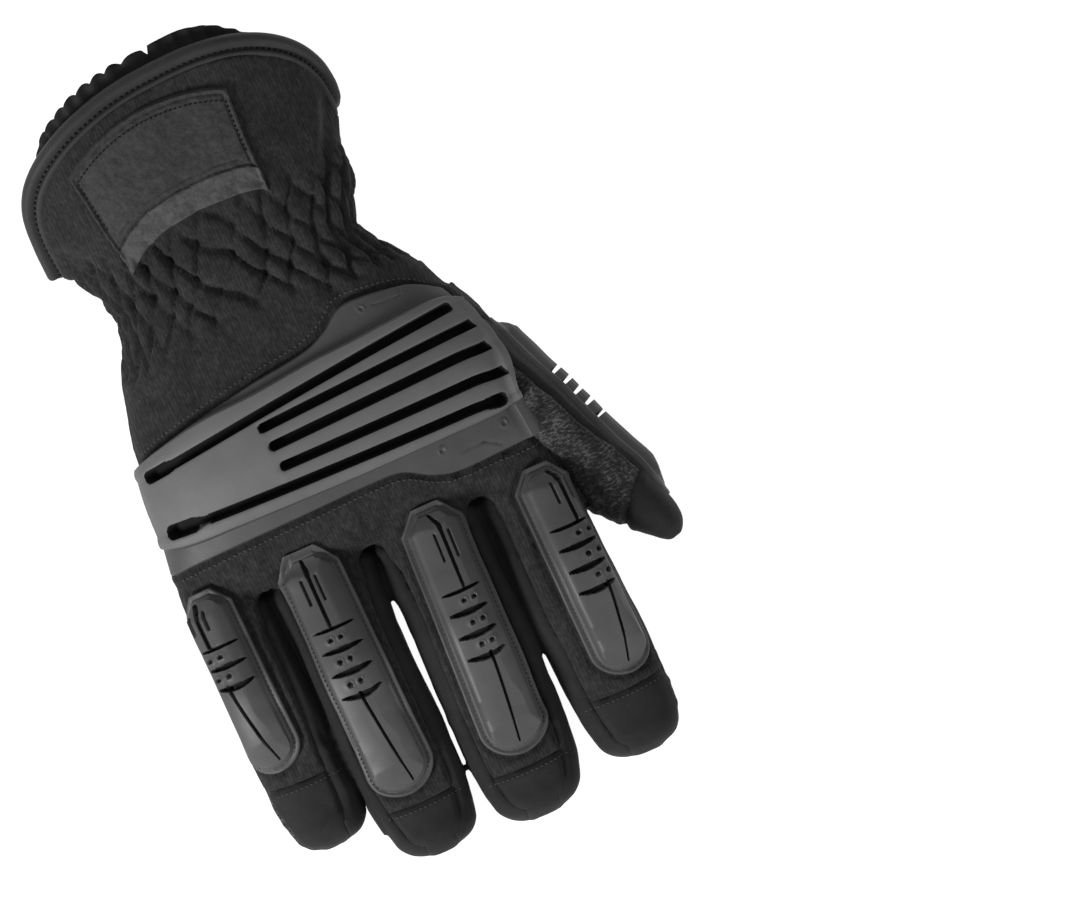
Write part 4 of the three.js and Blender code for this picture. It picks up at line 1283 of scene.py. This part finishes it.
def groove_bow(v, at, grooves, half):
    share = np.clip(np.abs(v + 0.4) / (half * 0.5), 0, 1)
    return (0.85 if at == grooves[-1] else 0.35) * (1 - share**2)


def guard_heights(u, v, outline, length, half, grooves, lines=None):
    """Heights of a finger guard over its grid, and the tone of each cell, where tone 1 is painted shade
    in its grooves and dimples.
    """
    full = outline + [(a, -b) for a, b in reversed(outline)]
    edge = outline_distance(u, v, full)
    height = RIM + 1.5 * edge_rise(edge, 0.5) - 0.75 * bell(edge, 1.7, 0.55)
    inner = np.maximum(0, edge - CHANNEL)
    line = groove_line(u, length, grooves, lines)
    last = grooves[-1]
    facet = lines[2] if lines else -half
    facet_at = facet + 0.6 * ease((u - last) / 3) - 1.4 * ease((u - last - 8) / 8)
    top = 4.9 - 0.05 * np.abs(v - line) - 0.5 * np.maximum(0, facet_at - v)
    start_slope = 2.0 + np.maximum(0, u - 3.0) * 0.5 + 0.1 * np.abs(v)
    end_slope = 2.2 + np.maximum(0, length - 3.0 - u) * 0.3
    side_slope = 2.9 + inner * 1.1
    body = np.minimum.reduce([top, start_slope, end_slope, side_slope])
    height = np.where(inner > 0, height + (body - height) * ease(inner / 0.3), height)
    # dark marks the floors of the grooves and dimples, which take painted shade: tone 1, a near-black
    # material standing in for the shade down in them
    dark = np.zeros_like(height)

    def cut(away, half_width, depth):
        nonlocal height, dark
        inside = 1 - ease((away - half_width + 0.06) / 0.16)
        height = height - depth * inside * (inner > 0)
        dark = np.maximum(dark, (away < half_width + 0.04) * (inner > 0.1))

    def stroke(v_at, first, final, half_width, depth):
        cut(np.hypot(v - v_at, np.maximum(0, np.maximum(first - u, u - final))), half_width, depth)

    reach = half * (0.5 if lines else 0.74)
    for number, at in enumerate(grooves):
        share = np.clip(np.abs(v + 0.4) / reach, 0, 1)
        thick = 0.52 if number == 0 else 0.74
        lens = thick * np.sqrt(1 - share**2) + 0.04 if lines else 0.66 + 0 * share
        off = np.abs(u - at - groove_bow(v, at, grooves, half))
        cut(off + 3 * (np.abs(v + 0.4) > reach), lens, 1.9 if lines else 2.8)
    if lines:
        first, end = grooves[0], length - 4.6
        stroke(line, last, end, 0.4 - 0.16 * np.clip((u - last) / (end - last), 0, 1), 1.1)
        kink = first * 0.27
        wedge = 0.42 + 0.24 * bell(u, kink, 2.5)
        stroke(line, first * 0.14, first, wedge, 1.2)
        stroke(line + 2.2, first * 0.36, first * 0.66, 0.36, 0.9)
        stroke(line - 1.8, first * 0.36, first * 0.66, 0.36, 0.9)
        for a, b in zip(grooves[:-1], grooves[1:]):
            for side in (-1.4, 1.4):
                spot = np.hypot(v - line - side, u - (a + b) / 2 - 0.2)
                height = height + 0.25 * bell(spot, 1.0, 0.28) * (inner > 0)
                cut(spot, 0.6, 0.9)
    tones = np.where(cell_means(inner) < 0.02, 2, 0)
    tones[cell_means(dark) > 0.6] = 1
    return height, tones


def finger_frame(finger, along, angle):
    step = 1e-3
    point = finger_point(finger, along, angle, full=False)
    turned = finger_point(finger, along, angle + step, full=False) - point
    onward = finger_point(finger, along + step, angle, full=False) - point
    normal = unit(np.cross(onward, turned))
    centre = finger_centre(finger, along)
    flip = np.sum(normal * (point - centre), -1, keepdims=True) < 0
    return point, np.where(flip, -normal, normal)


def guard_size(finger):
    start, end = finger["guard"]
    return (end - start) * finger["length"], finger["guard_width"] / 2 * ARC_SHARE


def guard_place(finger, u, v):
    """Points on a finger, and the way they face, by places along and across its guard."""
    start = finger["guard"][0]
    middle = math.pi / 2 + math.radians(finger["roll"])
    turn = np.linspace(middle - 1.5, middle + 1.5, 601)
    ring = finger_point(finger, 0.4, turn, full=False)
    arc = arc_length(ring)
    arc -= arc[300]
    angle = np.interp(-v, arc, turn)
    return finger_frame(finger, start + u / finger["length"], angle)


def make_finger_guard(finger):
    name = finger["name"]
    length, half = guard_size(finger)
    web = PALM_TO_WEB + finger["length"] * finger["guard"][0]
    grooves = [y - web for y in GROOVES[name]]
    lines = (MIDDLE_LINE[name], TIP_LINE[name], FACET_LINE[name])
    u, v, outline = guard_grid(length, half, grooves, lines)
    points, normals = guard_place(finger, u, v)
    points = seat(points, normals, 30)
    height, tones = guard_heights(u, v, outline, length, half, grooves, lines)
    # Tone 1 takes the painted shade of the grooves and dimples
    looks = [finger_rubber, slot_painted_shade, flange_rubber]
    names = (f"{name}_guard_cover", f"{name}_guard")
    plate_piece(*names, points, normals, height, FINGER_BASE, looks, tones)


# The thumb's guard starts and ends at shares of the thumb
THUMB_GUARD = (0.15, 0.89)
THUMB_GUARD_HALF = 9.0
THUMB_GROOVES = [24.6, 29.1, 33.4, 38.0, 42.8]


def thumb_guard_place(u, v):
    radius = (THUMB_WIDTH + THUMB_THICKNESS) / 4 * 1.02
    along, angle = THUMB_GUARD[0] + u / THUMB_LENGTH, THUMB_GUARD_TURN - v / radius
    step = 1e-3
    points = thumb_point(along, angle)
    onward = thumb_point(along + step, angle) - points
    normals = unit(np.cross(onward, thumb_point(along, angle + step) - points))
    flip = np.sum(normals * (points - thumb_centre(along)), -1, keepdims=True) < 0
    return points, np.where(flip, -normals, normals)


def make_thumb_guard():
    length = (THUMB_GUARD[1] - THUMB_GUARD[0]) * THUMB_LENGTH
    u, v, outline = guard_grid(length, THUMB_GUARD_HALF, THUMB_GROOVES)
    points, normals = thumb_guard_place(u, v)
    points = seat(points, normals, 60, 1.5)
    height, tones = guard_heights(u, v, outline, length, THUMB_GUARD_HALF, THUMB_GROOVES)
    tip, start = 0.3 + 0.7 * ease((length - u) / 9), 0.45 + 0.55 * ease(u / 5)
    height = RIM + (height - RIM) * tip * start
    # Tone 1 takes the painted shade of the grooves
    looks = [finger_rubber, slot_painted_shade, finger_rubber]
    names = ("thumb_guard_cover", "thumb_guard")
    plate_piece(*names, points, normals, height, FINGER_BASE, looks, tones)


def plate_edges():
    """Points along the outlines of the plates, where the cloth dips."""
    across = np.linspace(-0.945, 0.995, 500)
    low, _, *_, high = knuckle_lines(across)
    edges = [body_point(low - 0.5, angle_of(across)), body_point(high + 0.5, angle_of(across))]
    edges.append(body_point(np.linspace(low[0], high[0], 120), angle_of(-0.955)))
    for finger in FINGERS:
        length, half = guard_size(finger)
        outline = guard_outline(length, half)
        u = np.linspace(0, length, 260)
        v = linear(outline, u) + 0.5
        tip = v[-1] * np.linspace(-1, 1, 5)
        start = v[0] * np.linspace(-1, 1, 30)
        u = np.concatenate([u, u, np.full(5, length + 0.4), np.full(30, -0.5)])
        v = np.concatenate([v, -v, tip, start])
        edges.append(guard_place(finger, u, v)[0])
    return np.concatenate(edges)


# Cuff edge: the bound roll with its ridge and groove, and the gathered lining


def edge_frame(angle):
    """The cuff's edge, the way its cloth runs out there, and the way the cloth faces."""
    here = body_point(MOUTH_Y, angle)
    onward = here - body_point(MOUTH_Y + 1, angle)
    along = unit(body_point(MOUTH_Y, angle + 0.01) - body_point(MOUTH_Y, angle - 0.01))
    onward = unit(onward - np.sum(onward * along, -1, keepdims=True) * along)
    return here, onward, unit(np.cross(along, onward))


# The binding's section, as (onward, outward) from the cloth's edge
BINDING_SECTION = [
    (-0.6, -0.4),
    (-0.5, 0.5),
    (0.1, 1.0),
    (0.75, 1.25),
    (1.3, 1.0),
    (1.7, 0.45),
    (2.2, 0.4),
    (2.7, 1.1),
    (3.5, 1.9),
    (4.6, 2.15),
    (5.8, 1.6),
    (6.6, 0.3),
    (6.7, -1.3),
    (6.0, -2.9),
    (4.6, -3.9),
    (3.0, -4.0),
    (1.4, -3.3),
    (0.0, -2.2),
]


def closed_curve(corners, count):
    """Points on a smooth closed curve through corners."""
    corners = np.asarray(corners, float)
    n = len(corners)
    t = np.linspace(0, n, count, endpoint=False)
    i = t.astype(int)
    f = (t - i)[:, None]
    p0, p1, p2, p3 = [corners[(i + k) % n] for k in (-1, 0, 1, 2)]
    square, cube = 2 * p0 - 5 * p1 + 4 * p2 - p3, 3 * p1 - p0 - 3 * p2 + p3
    return 0.5 * (2 * p1 + (p2 - p0) * f + square * f**2 + cube * f**3)


def ring_faces(count, sides):
    """Quads of a tube whose last ring joins its first."""
    i, j = np.meshgrid(np.arange(count), np.arange(sides), indexing="ij")
    i1, j1 = (i + 1) % count, (j + 1) % sides
    return np.stack([i * sides + j, i1 * sides + j, i1 * sides + j1, i * sides + j1], -1).reshape(-1, 4)


def make_binding():
    count, sides = 640, 44
    angle = np.linspace(0, 2 * math.pi, count, endpoint=False)
    here, onward, outward = edge_frame(angle)
    section = closed_curve(BINDING_SECTION, sides)
    wobble = 0.14 * noise(here, 9, 12) + 0.07 * noise(here, 4, 13)
    a = section[:, 0][None, :, None]
    b = (section[:, 1][None, :] + wobble[:, None] * (section[:, 0] > 2.4))[..., None]
    points = here[:, None] + a * onward[:, None] + (b - 0.9) * outward[:, None]
    points[..., 2] = np.maximum(points[..., 2], FLOOR_GAP)
    faces = ring_faces(count, sides)
    mesh = make_mesh("cuff_binding_roll", points.reshape(-1, 3), faces, [binding_cloth], recalculate=True)
    add_piece("cuff_binding_roll", mesh, "binding_cloth", "cuff_binding")


# How far the lining reaches past the cuff's edge, by x on the back of the hand
LINING_REACH = [
    (-42, 4),
    (-36, 6),
    (-27, 8.6),
    (-18, 11.3),
    (-8, 12.3),
    (3.2, 11.9),
    (4, 9.6),
    (5.5, 11.3),
    (30, 12.4),
    (40, 12.4),
    (47, 12.4),
    (53, 10.2),
    (57, 7),
]


# How far inside the cuff the lining starts
LINING_DEPTH = 24


def make_lining():
    count = 900
    angle = np.linspace(0, 2 * math.pi, count, endpoint=False)
    edge = body_point(MOUTH_Y, angle)
    back = np.maximum(0, np.sin(angle))
    frill = ease((edge[:, 0] - 3) / 2)
    beads = np.abs(np.sin(angle * 27 + 0.6 * noise(edge, 12, 15)))
    reach = linear(LINING_REACH, edge[:, 0]) + frill * (1.5 * beads - 1.0)
    reach = np.where(back > 0.02, reach, 4.5 + 0.6 * beads) * ease(back * 6 + 0.75)
    shares = np.concatenate([np.linspace(0, 0.7, 6), np.linspace(0.78, 1, 8)])
    walls = []
    for depth in (0.0, 1.0):
        rings = []
        for share in shares:
            pleat = 0.55 * ease((share - 0.2) / 0.8) * np.sin(angle * 54 + 1.5 * noise(edge, 15, 14))
            pleat += 0.5 * noise(edge + 40 * share, 6, 16) * share
            bulge = 1.1 * math.sin(math.pi * min(1, max(0, (share - 0.72) / 0.28)))
            inset = 4.3 + depth - bulge * 0.6 - pleat - 0.9 * (share > 0.97)
            ring = body_point(MOUTH_Y + LINING_DEPTH * (1 - share), angle, -inset)
            ring[:, 1] -= reach * ease((share - 0.62) / 0.38)
            rings.append(ring)
        walls.append(rings)
    rings = walls[0] + walls[1][::-1]
    points = np.array(rings)
    points[..., 2] = np.maximum(points[..., 2], 0.6)
    faces = ring_faces(len(rings), count)
    mesh = make_mesh("cuff_lining_cloth", points.reshape(-1, 3), faces, [lining_cloth], recalculate=True)
    add_piece("cuff_lining_cloth", mesh, "lining_cloth", "cuff_lining")


# Patch on the back of the cuff

PATCH_LEFT, PATCH_RIGHT = -0.44, 0.68
PATCH_LOW = MOUTH_Y + CUFF_LENGTH * 0.09
PATCH_HIGH = MOUTH_Y + CUFF_LENGTH * 0.12 + 20
PATCH_BAND, PATCH_BOW = 8.0, 1.3


def thumb_share(angle):
    """0 on the little finger's side of the patch, and 1 on the thumb's."""
    return ease((0.15 - np.cos(angle)) / 0.7)


def patch_start(angle, across, inset=0.0):
    """Where the patch starts beside the cuff's edge, or a line further in."""
    return PATCH_LOW + PATCH_BOW * thumb_share(angle) + inset - PATCH_BOW * (1 - across**2)


def make_patch():
    columns, rows = 190, 90
    angle = np.linspace(angle_of(PATCH_LEFT), angle_of(PATCH_RIGHT), columns)
    share = np.linspace(0, 1, rows)[:, None]
    across = np.linspace(-1, 1, columns)
    start = patch_start(angle, across)
    end = PATCH_HIGH - 2.6 * thumb_share(angle) - 4.6 * (1 - across**2) ** 0.8
    end = end + 2.2 * ease((across + 0.2) / 1.2)
    y = start + (end - start) * share
    angle = np.broadcast_to(angle, y.shape)
    wave = 1.0 * noise(np.stack([angle * 40, 0 * y, 0 * y], -1), 7, 21)
    y = y + wave * share**3
    points, normals = body_frame(y, angle)
    points = seat(points, normals, 12)
    across = np.linalg.norm(np.diff(points, axis=1), axis=-1)
    s = np.concatenate([np.zeros((rows, 1)), np.cumsum(across, axis=1)], axis=1)
    length = s[:, -1:]
    run = np.linalg.norm(np.diff(points, axis=0), axis=-1)
    t = np.concatenate([np.zeros((1, columns)), np.cumsum(run, axis=0)], axis=0)
    deep = t[-1:]
    side = np.minimum(s, length - s)
    edge = np.minimum(np.minimum(side, t), deep - t)
    height = 0.2 + 0.9 * edge_rise(edge, 0.6)
    frame_edge = np.minimum(side, t)
    ragged = 0.3 * noise(points, 1.6, 22)
    height += 0.6 * bell(frame_edge - 0.9 + ragged, 0, 0.5) * (t < deep - PATCH_BAND * 0.4)
    height -= 0.35 * bell(frame_edge, 2.0, 0.45) * (t < deep - PATCH_BAND)
    band = deep - PATCH_BAND
    height += 0.45 * ease((t - band + 0.3) / 0.6)
    height -= 0.4 * bell(t - band + 0.5, 0, 0.35)
    height -= 0.3 * bell(t - band + 2.4, 0, 0.25) * ease((side - 4) / 2)
    height += 0.16 * noise(points, 2.2, 23) + 0.12 * noise(points, 1.1, 24)
    height += 0.9 * ease((t - deep + 4) / 4) * (0.5 + 0.5 * noise(points, 8, 25))
    light = ease((t - band) / 0.4)
    mesh_points, faces = plate(points, normals, height, PATCH_BASE)
    index = np.zeros(len(faces), np.int32)
    cells = (light[:-1, :-1] + light[1:, 1:]) / 2
    index[: (rows - 1) * (columns - 1)] = (cells > 0.5).ravel()
    looks = [patch_rubber, patch_band]
    mesh = make_mesh("cuff_patch_cover", mesh_points, faces, looks, index, sharp=50, recalculate=True)
    add_piece("cuff_patch_cover", mesh, "patch_rubber", "cuff_patch")


# Stitches: short threads laid along lines on the surface


def stitch_mesh(centres, ways, ups, length, radius, flat=0.6):
    """Small spindles, one at each centre, pointing along its way."""
    sides = 6
    turn = np.linspace(0, 2 * math.pi, sides, endpoint=False)
    across = unit(np.cross(ups, ways))
    c, s = np.cos(turn)[None, :, None], np.sin(turn)[None, :, None]
    ring = radius * (c * across[:, None] + flat * s * ups[:, None])
    rings = [(centres + ways * (length * share))[:, None] + ring for share in (-0.3, 0.3)]
    tips = np.stack([centres - ways * length / 2, centres + ways * length / 2], 1)
    points = np.concatenate([rings[0], rings[1], tips], axis=1)
    each = points.shape[1]
    faces = []
    for i in range(sides):
        j = (i + 1) % sides
        faces.append((i, j, sides + j, sides + i))
        faces.append((2 * sides, j, i, i))
        faces.append((2 * sides + 1, sides + i, sides + j, sides + j))
    all_faces = []
    for k in range(len(centres)):
        start = k * each
        all_faces += [tuple(dict.fromkeys(start + q for q in face)) for face in faces]
    return points.reshape(-1, 3), all_faces


def resample(line, spacing, *others):
    """Evenly spaced places on a line, with other arrays read at the same places."""
    arc = arc_length(line)
    at = np.arange(spacing / 2, arc[-1], spacing)

    def read(values):
        return np.stack([np.interp(at, arc, values[:, k]) for k in range(3)], -1)

    ways = unit(read(np.gradient(line, axis=0)))
    return [read(line), ways, *[unit(read(other)) for other in others]]


def sewn_line(points, normals, spacing, length, radius, lift):
    """Stitches along a line of points near the skin, laid on its surface."""
    line = seat(points[None], normals[None], 2)[0]
    centres, ways, ups = resample(line, spacing, normals)
    return stitch_mesh(centres + ups * lift, ways, ups, length, radius)


# Spacing, length and half thickness of the stitches, and how far off the cloth they lie
KNUCKLE_STITCH = (1.75, 1.15, 0.3, 0.12)
CAP_STITCH = (1.6, 1.0, 0.22, 0.05)
GUARD_STITCH = (1.5, 0.95, 0.2, 1.05)
PATCH_STITCH = (1.55, 1.1, 0.24, 1.3)


def add_stitches(name, parts, look, slot):
    add_piece(name, make_mesh(name, *join(parts), [look]), slot)


def make_stitches():
    parts = []
    across = np.linspace(-0.93, 0.97, 400)
    low, high, _, _ = np.moveaxis(hermite(KNUCKLE_ROWS, across), -1, 0) * PALM_TO_WEB
    for y in (low - 2.6, high + 2.4):
        points, normals = body_frame(y, angle_of(across))
        parts.append(sewn_line(points, normals, *KNUCKLE_STITCH))
    for finger in FINGERS:
        seam = PALM_TO_WEB + finger["length"] - finger["cap"]
        turn = np.linspace(math.radians(38), math.radians(142), 80)
        along = (seam + 1.7 - CAP_BOW * np.cos(turn) ** 2 - PALM_TO_WEB) / finger["length"]
        points, normals = finger_frame(finger, along, turn)
        parts.append(sewn_line(points, normals, *CAP_STITCH))
    add_stitches("cloth_stitches", parts, thread_grey, "woven_cloth")

    parts = []
    for finger in FINGERS:
        length, half = guard_size(finger)
        outline = guard_outline(length, half)
        u = np.linspace(1.7, length - 1.8, 260)
        v = np.maximum(0, linear(outline, u) - 1.7)
        u, v = np.concatenate([u, u[::-1]]), np.concatenate([v, -v[::-1]])
        points, normals = guard_place(finger, u, v)
        parts.append(sewn_line(points, normals, *GUARD_STITCH))
    add_stitches("guard_stitches", parts, thread_grey, "guard_rubber")

    angle = np.linspace(angle_of(PATCH_LEFT + 0.035), angle_of(PATCH_RIGHT - 0.03), 300)
    y = patch_start(angle, np.linspace(-1, 1, 300), 1.9)
    side = np.linspace(0, 1, 80)
    ends = [np.full(80, angle[0]), np.full(80, angle[-1])]
    y = np.concatenate([y[0] + 8.5 * side[::-1], y, y[-1] + 10 * side])
    angle = np.concatenate([ends[0], angle, ends[1]])
    points, normals = body_frame(y, angle)
    parts = [sewn_line(points, normals, *PATCH_STITCH)]
    add_stitches("patch_stitches", parts, thread_black, "patch_rubber")

    angle = np.linspace(0, 2 * math.pi, 2000)
    here, onward, outward = edge_frame(angle)
    line = here + 1.95 * onward - 0.38 * outward
    line[:, 2] = np.maximum(line[:, 2], 0.3)
    centres, ways, ups = resample(line, 1.95, outward)
    parts = [stitch_mesh(centres, ways, ups, 1.3, 0.42, 0.8)]
    add_stitches("binding_stitches", parts, thread_black, "binding_cloth")


# Materials


class Shader:
    """A material's node tree, built a node at a time."""

    def __init__(self, name, roughness, sheen=0.0, specular=0.5):
        self.material = bpy.data.materials.new(name)
        self.material.use_nodes = True
        self.tree = self.material.node_tree
        self.surface = self.tree.nodes["Principled BSDF"]
        self.surface.inputs["Roughness"].default_value = roughness
        self.surface.inputs["Sheen Weight"].default_value = sheen
        self.surface.inputs["Sheen Roughness"].default_value = 0.5
        self.surface.inputs["Specular IOR Level"].default_value = specular
        self.place = self.tree.nodes.new("ShaderNodeTexCoord").outputs["Object"]

    def link(self, source, target):
        if isinstance(source, (int, float)):
            target.default_value = source
        else:
            self.tree.links.new(source, target)

    def math(self, kind, a, b=0.0):
        node = self.tree.nodes.new("ShaderNodeMath")
        node.operation = kind
        self.link(a, node.inputs[0])
        self.link(b, node.inputs[1])
        return node.outputs[0]

    def noise(self, size, detail=2.0, rough=0.5, stretch=(1, 1, 1)):
        """Noise from 0 to 1, with features of about size millimetres."""
        scale = self.tree.nodes.new("ShaderNodeMapping")
        scale.inputs["Scale"].default_value = stretch
        self.link(self.place, scale.inputs["Vector"])
        node = self.tree.nodes.new("ShaderNodeTexNoise")
        node.inputs["Scale"].default_value = 1 / (size * MM)
        node.inputs["Detail"].default_value = detail
        node.inputs["Roughness"].default_value = rough
        self.link(scale.outputs[0], node.inputs["Vector"])
        return node.outputs[0]

    def ribs(self, pitch, axis, wander=0.0):
        """Waves from 0 to 1 across one axis, one to each pitch."""
        split = self.tree.nodes.new("ShaderNodeSeparateXYZ")
        self.link(self.place, split.inputs[0])
        at = self.math("MULTIPLY", split.outputs[axis], 2 * math.pi / (pitch * MM))
        if wander:
            at = self.math("ADD", at, self.math("MULTIPLY", self.noise(pitch * 4), wander))
        return self.math("MULTIPLY_ADD", self.math("SINE", at), 0.5)

    def ramp(self, value, stops):
        """Greys by value: stops are (value, grey)."""
        node = self.tree.nodes.new("ShaderNodeValToRGB")
        self.link(value, node.inputs[0])
        elements = node.color_ramp.elements
        while len(elements) < len(stops):
            elements.new(0.5)
        for element, (at, grey) in zip(elements, stops):
            element.position = at
            element.color = (grey, grey, grey, 1)
        return node.outputs["Color"]

    def finish(self, colour, height=None, distance=0.1, strength=1.0, roughness=None):
        self.link(colour, self.surface.inputs["Base Color"])
        if roughness is not None:
            self.link(roughness, self.surface.inputs["Roughness"])
        if height is not None:
            bump = self.tree.nodes.new("ShaderNodeBump")
            bump.inputs["Strength"].default_value = strength
            bump.inputs["Distance"].default_value = distance * MM
            self.link(height, bump.inputs["Height"])
            self.link(bump.outputs[0], self.surface.inputs["Normal"])
        return self.material


def mixed(shader, a, b, share):
    """a and b added in a share."""
    return shader.math("ADD", shader.math("MULTIPLY", a, 1 - share), shader.math("MULTIPLY", b, share))


def woven_material():
    shader = Shader("woven_cloth", 0.9, sheen=0.03, specular=0.12)
    ribs = shader.ribs(1.1, 0, 6.0)
    threads = shader.noise(1.2, 3.0, 0.7, (1, 0.55, 1))
    relief = mixed(shader, ribs, threads, 0.9)
    tone = mixed(shader, relief, shader.noise(12, 3.0), 0.25)
    colour = shader.ramp(tone, [(0.34, 0.008), (0.5, 0.0155), (0.66, 0.027)])
    return shader.finish(colour, relief, 0.25, 0.9)


def smooth_material(name, dark, light, roughness=0.85):
    shader = Shader(name, roughness, sheen=0.02, specular=0.15)
    threads = mixed(shader, shader.noise(0.5, 2.0, 0.6), shader.noise(2.2, 3.0), 0.4)
    tone = mixed(shader, threads, shader.noise(12, 3.0), 0.4)
    colour = shader.ramp(tone, [(0.3, dark), (0.75, light)])
    return shader.finish(colour, threads, 0.12, 0.7)


def palm_material():
    shader = Shader("palm_cloth", 0.9, sheen=0.03, specular=0.15)
    grain = mixed(shader, shader.noise(1.05, 2.0, 0.6, (0.7, 1.5, 1)), shader.noise(0.5, 3.0, 0.7), 0.3)
    tone = mixed(shader, grain, shader.noise(6, 3.0), 0.3)
    colour = shader.ramp(tone, [(0.38, 0.006), (0.5, 0.019), (0.62, 0.078)])
    return shader.finish(colour, grain, 0.9, 1.0)


def rubber_material(name, dark, light, roughness):
    shader = Shader(name, roughness, specular=0.3)
    grain = mixed(shader, shader.noise(0.35, 2.0), shader.noise(1.6, 3.0), 0.5)
    tone = mixed(shader, shader.noise(9, 4.0), grain, 0.3)
    colour = shader.ramp(tone, [(0.3, dark), (0.75, light)])
    shine = shader.math("MULTIPLY_ADD", shader.noise(5, 3.0), 0.18)
    shine.node.inputs[2].default_value = roughness - 0.09
    return shader.finish(colour, grain, 0.03, 0.5, shine)


def patch_material(name, dark, light):
    shader = Shader(name, 0.75, sheen=0.03, specular=0.2)
    grain = mixed(shader, shader.noise(0.8, 3.0, 0.6), shader.noise(2.5, 2.0), 0.45)
    colour = shader.ramp(grain, [(0.35, dark), (0.62, light)])
    return shader.finish(colour, grain, 0.25, 0.8)


woven_cloth = woven_material()
palm_cloth = palm_material()
smooth_cloth = smooth_material("smooth_cloth", 0.008, 0.018)
tip_cloth = smooth_material("tip_cloth", 0.008, 0.017, 0.8)
binding_cloth = smooth_material("binding_cloth", 0.017, 0.029, 0.6)
lining_cloth = smooth_material("lining_cloth", 0.01, 0.024, 0.9)
guard_rubber = rubber_material("guard_rubber", 0.07, 0.089, 0.6)
finger_rubber = rubber_material("finger_rubber", 0.04, 0.056, 0.5)
flange_rubber = rubber_material("flange_rubber", 0.034, 0.048, 0.55)
# Painted shade: a near-black rubber, darker than the cloth, laid on the floors of the guards' slots and
# grooves to stand in for the shade down in them
slot_painted_shade = rubber_material("slot_painted_shade", 0.002, 0.004, 0.9)
patch_rubber = patch_material("patch_rubber", 0.014, 0.03)
patch_band = patch_material("patch_band", 0.028, 0.055)
thread_grey = smooth_material("thread_grey", 0.024, 0.05, 0.8)
thread_black = smooth_material("thread_black", 0.002, 0.004, 0.8)

# The glove

skin_points, skin_faces, skin_label = make_skin()
skin_normals = point_normals(skin_points, skin_faces)
skin_tree = BVHTree.FromPolygons(skin_points.tolist(), skin_faces.tolist())

PANEL_LOOK = {"back_panel": (woven_cloth, "woven_cloth"), "palm_panel": (palm_cloth, "palm_cloth")}
PANEL_LOOK["thumb_palm"] = (palm_cloth, "palm_cloth")
for name in CAPS:
    PANEL_LOOK[name] = (tip_cloth, "tip_cloth")
for name in PANELS:
    look, slot = PANEL_LOOK.get(name, (smooth_cloth, "smooth_cloth"))
    shell = panel_shell(skin_points, skin_faces[skin_label == NUMBER[name]], skin_normals)
    add_piece(f"{name}_cloth", make_mesh(f"{name}_cloth", *shell, [look]), slot, name)

make_knuckle_guard()
for finger in FINGERS:
    make_finger_guard(finger)
make_thumb_guard()
make_binding()
make_lining()
make_patch()
make_stitches()

# Floor and light


def make_floor():
    size = 6000.0
    corners = np.array([(-size, -size, 0), (size, -size, 0), (size, size, 0), (-size, size, 0)])
    shader = Shader("floor", 0.9, specular=0.1)
    shader.surface.inputs["Emission Color"].default_value = (1, 1, 1, 1)
    shader.surface.inputs["Emission Strength"].default_value = 0.96
    tone = shader.ramp(shader.noise(60, 2.0), [(0.0, 0.2), (1.0, 0.23)])
    mesh = make_mesh("floor", corners, [(0, 1, 2, 3)], [shader.finish(tone)])
    floor = bpy.data.objects.new("floor", mesh)
    scene.collection.objects.link(floor)


def make_light(name, place, size, power):
    data = bpy.data.lights.new(name, "AREA")
    data.shape = "SQUARE"
    data.size = size
    data.energy = power
    light = bpy.data.objects.new(name, data)
    light.visible_camera = False
    light.location = place
    aim = Vector((0, 0, 0)) - Vector(place)
    light.rotation_euler = aim.to_track_quat("-Z", "Y").to_euler()
    scene.collection.objects.link(light)


def to_view(right, up, high):
    """A place given by the picture's right and up, in metres."""
    x, y = Vector(VIEW_RIGHT).normalized()
    return (right * x + up * y, right * y - up * x, high)


def make_world():
    world = bpy.data.worlds.new("world")
    world.use_nodes = True
    background = world.node_tree.nodes["Background"]
    background.inputs["Color"].default_value = (1, 1, 1, 1)
    background.inputs["Strength"].default_value = 0.42
    scene.world = world


# Lights: right, up and height by the picture, in metres, then size and power
LIGHTS = {
    "key": ((-0.9, 1.2, 1.0), 0.5, 42),
    "side": ((1.3, 0.6, 0.8), 0.8, 7),
    "fill": ((-0.6, -1.2, 1.2), 1.2, 4),
}

make_floor()
for name, (place, size, power) in LIGHTS.items():
    make_light(name, to_view(*place), size, power)
make_world()
scene.view_settings.view_transform = "Standard"
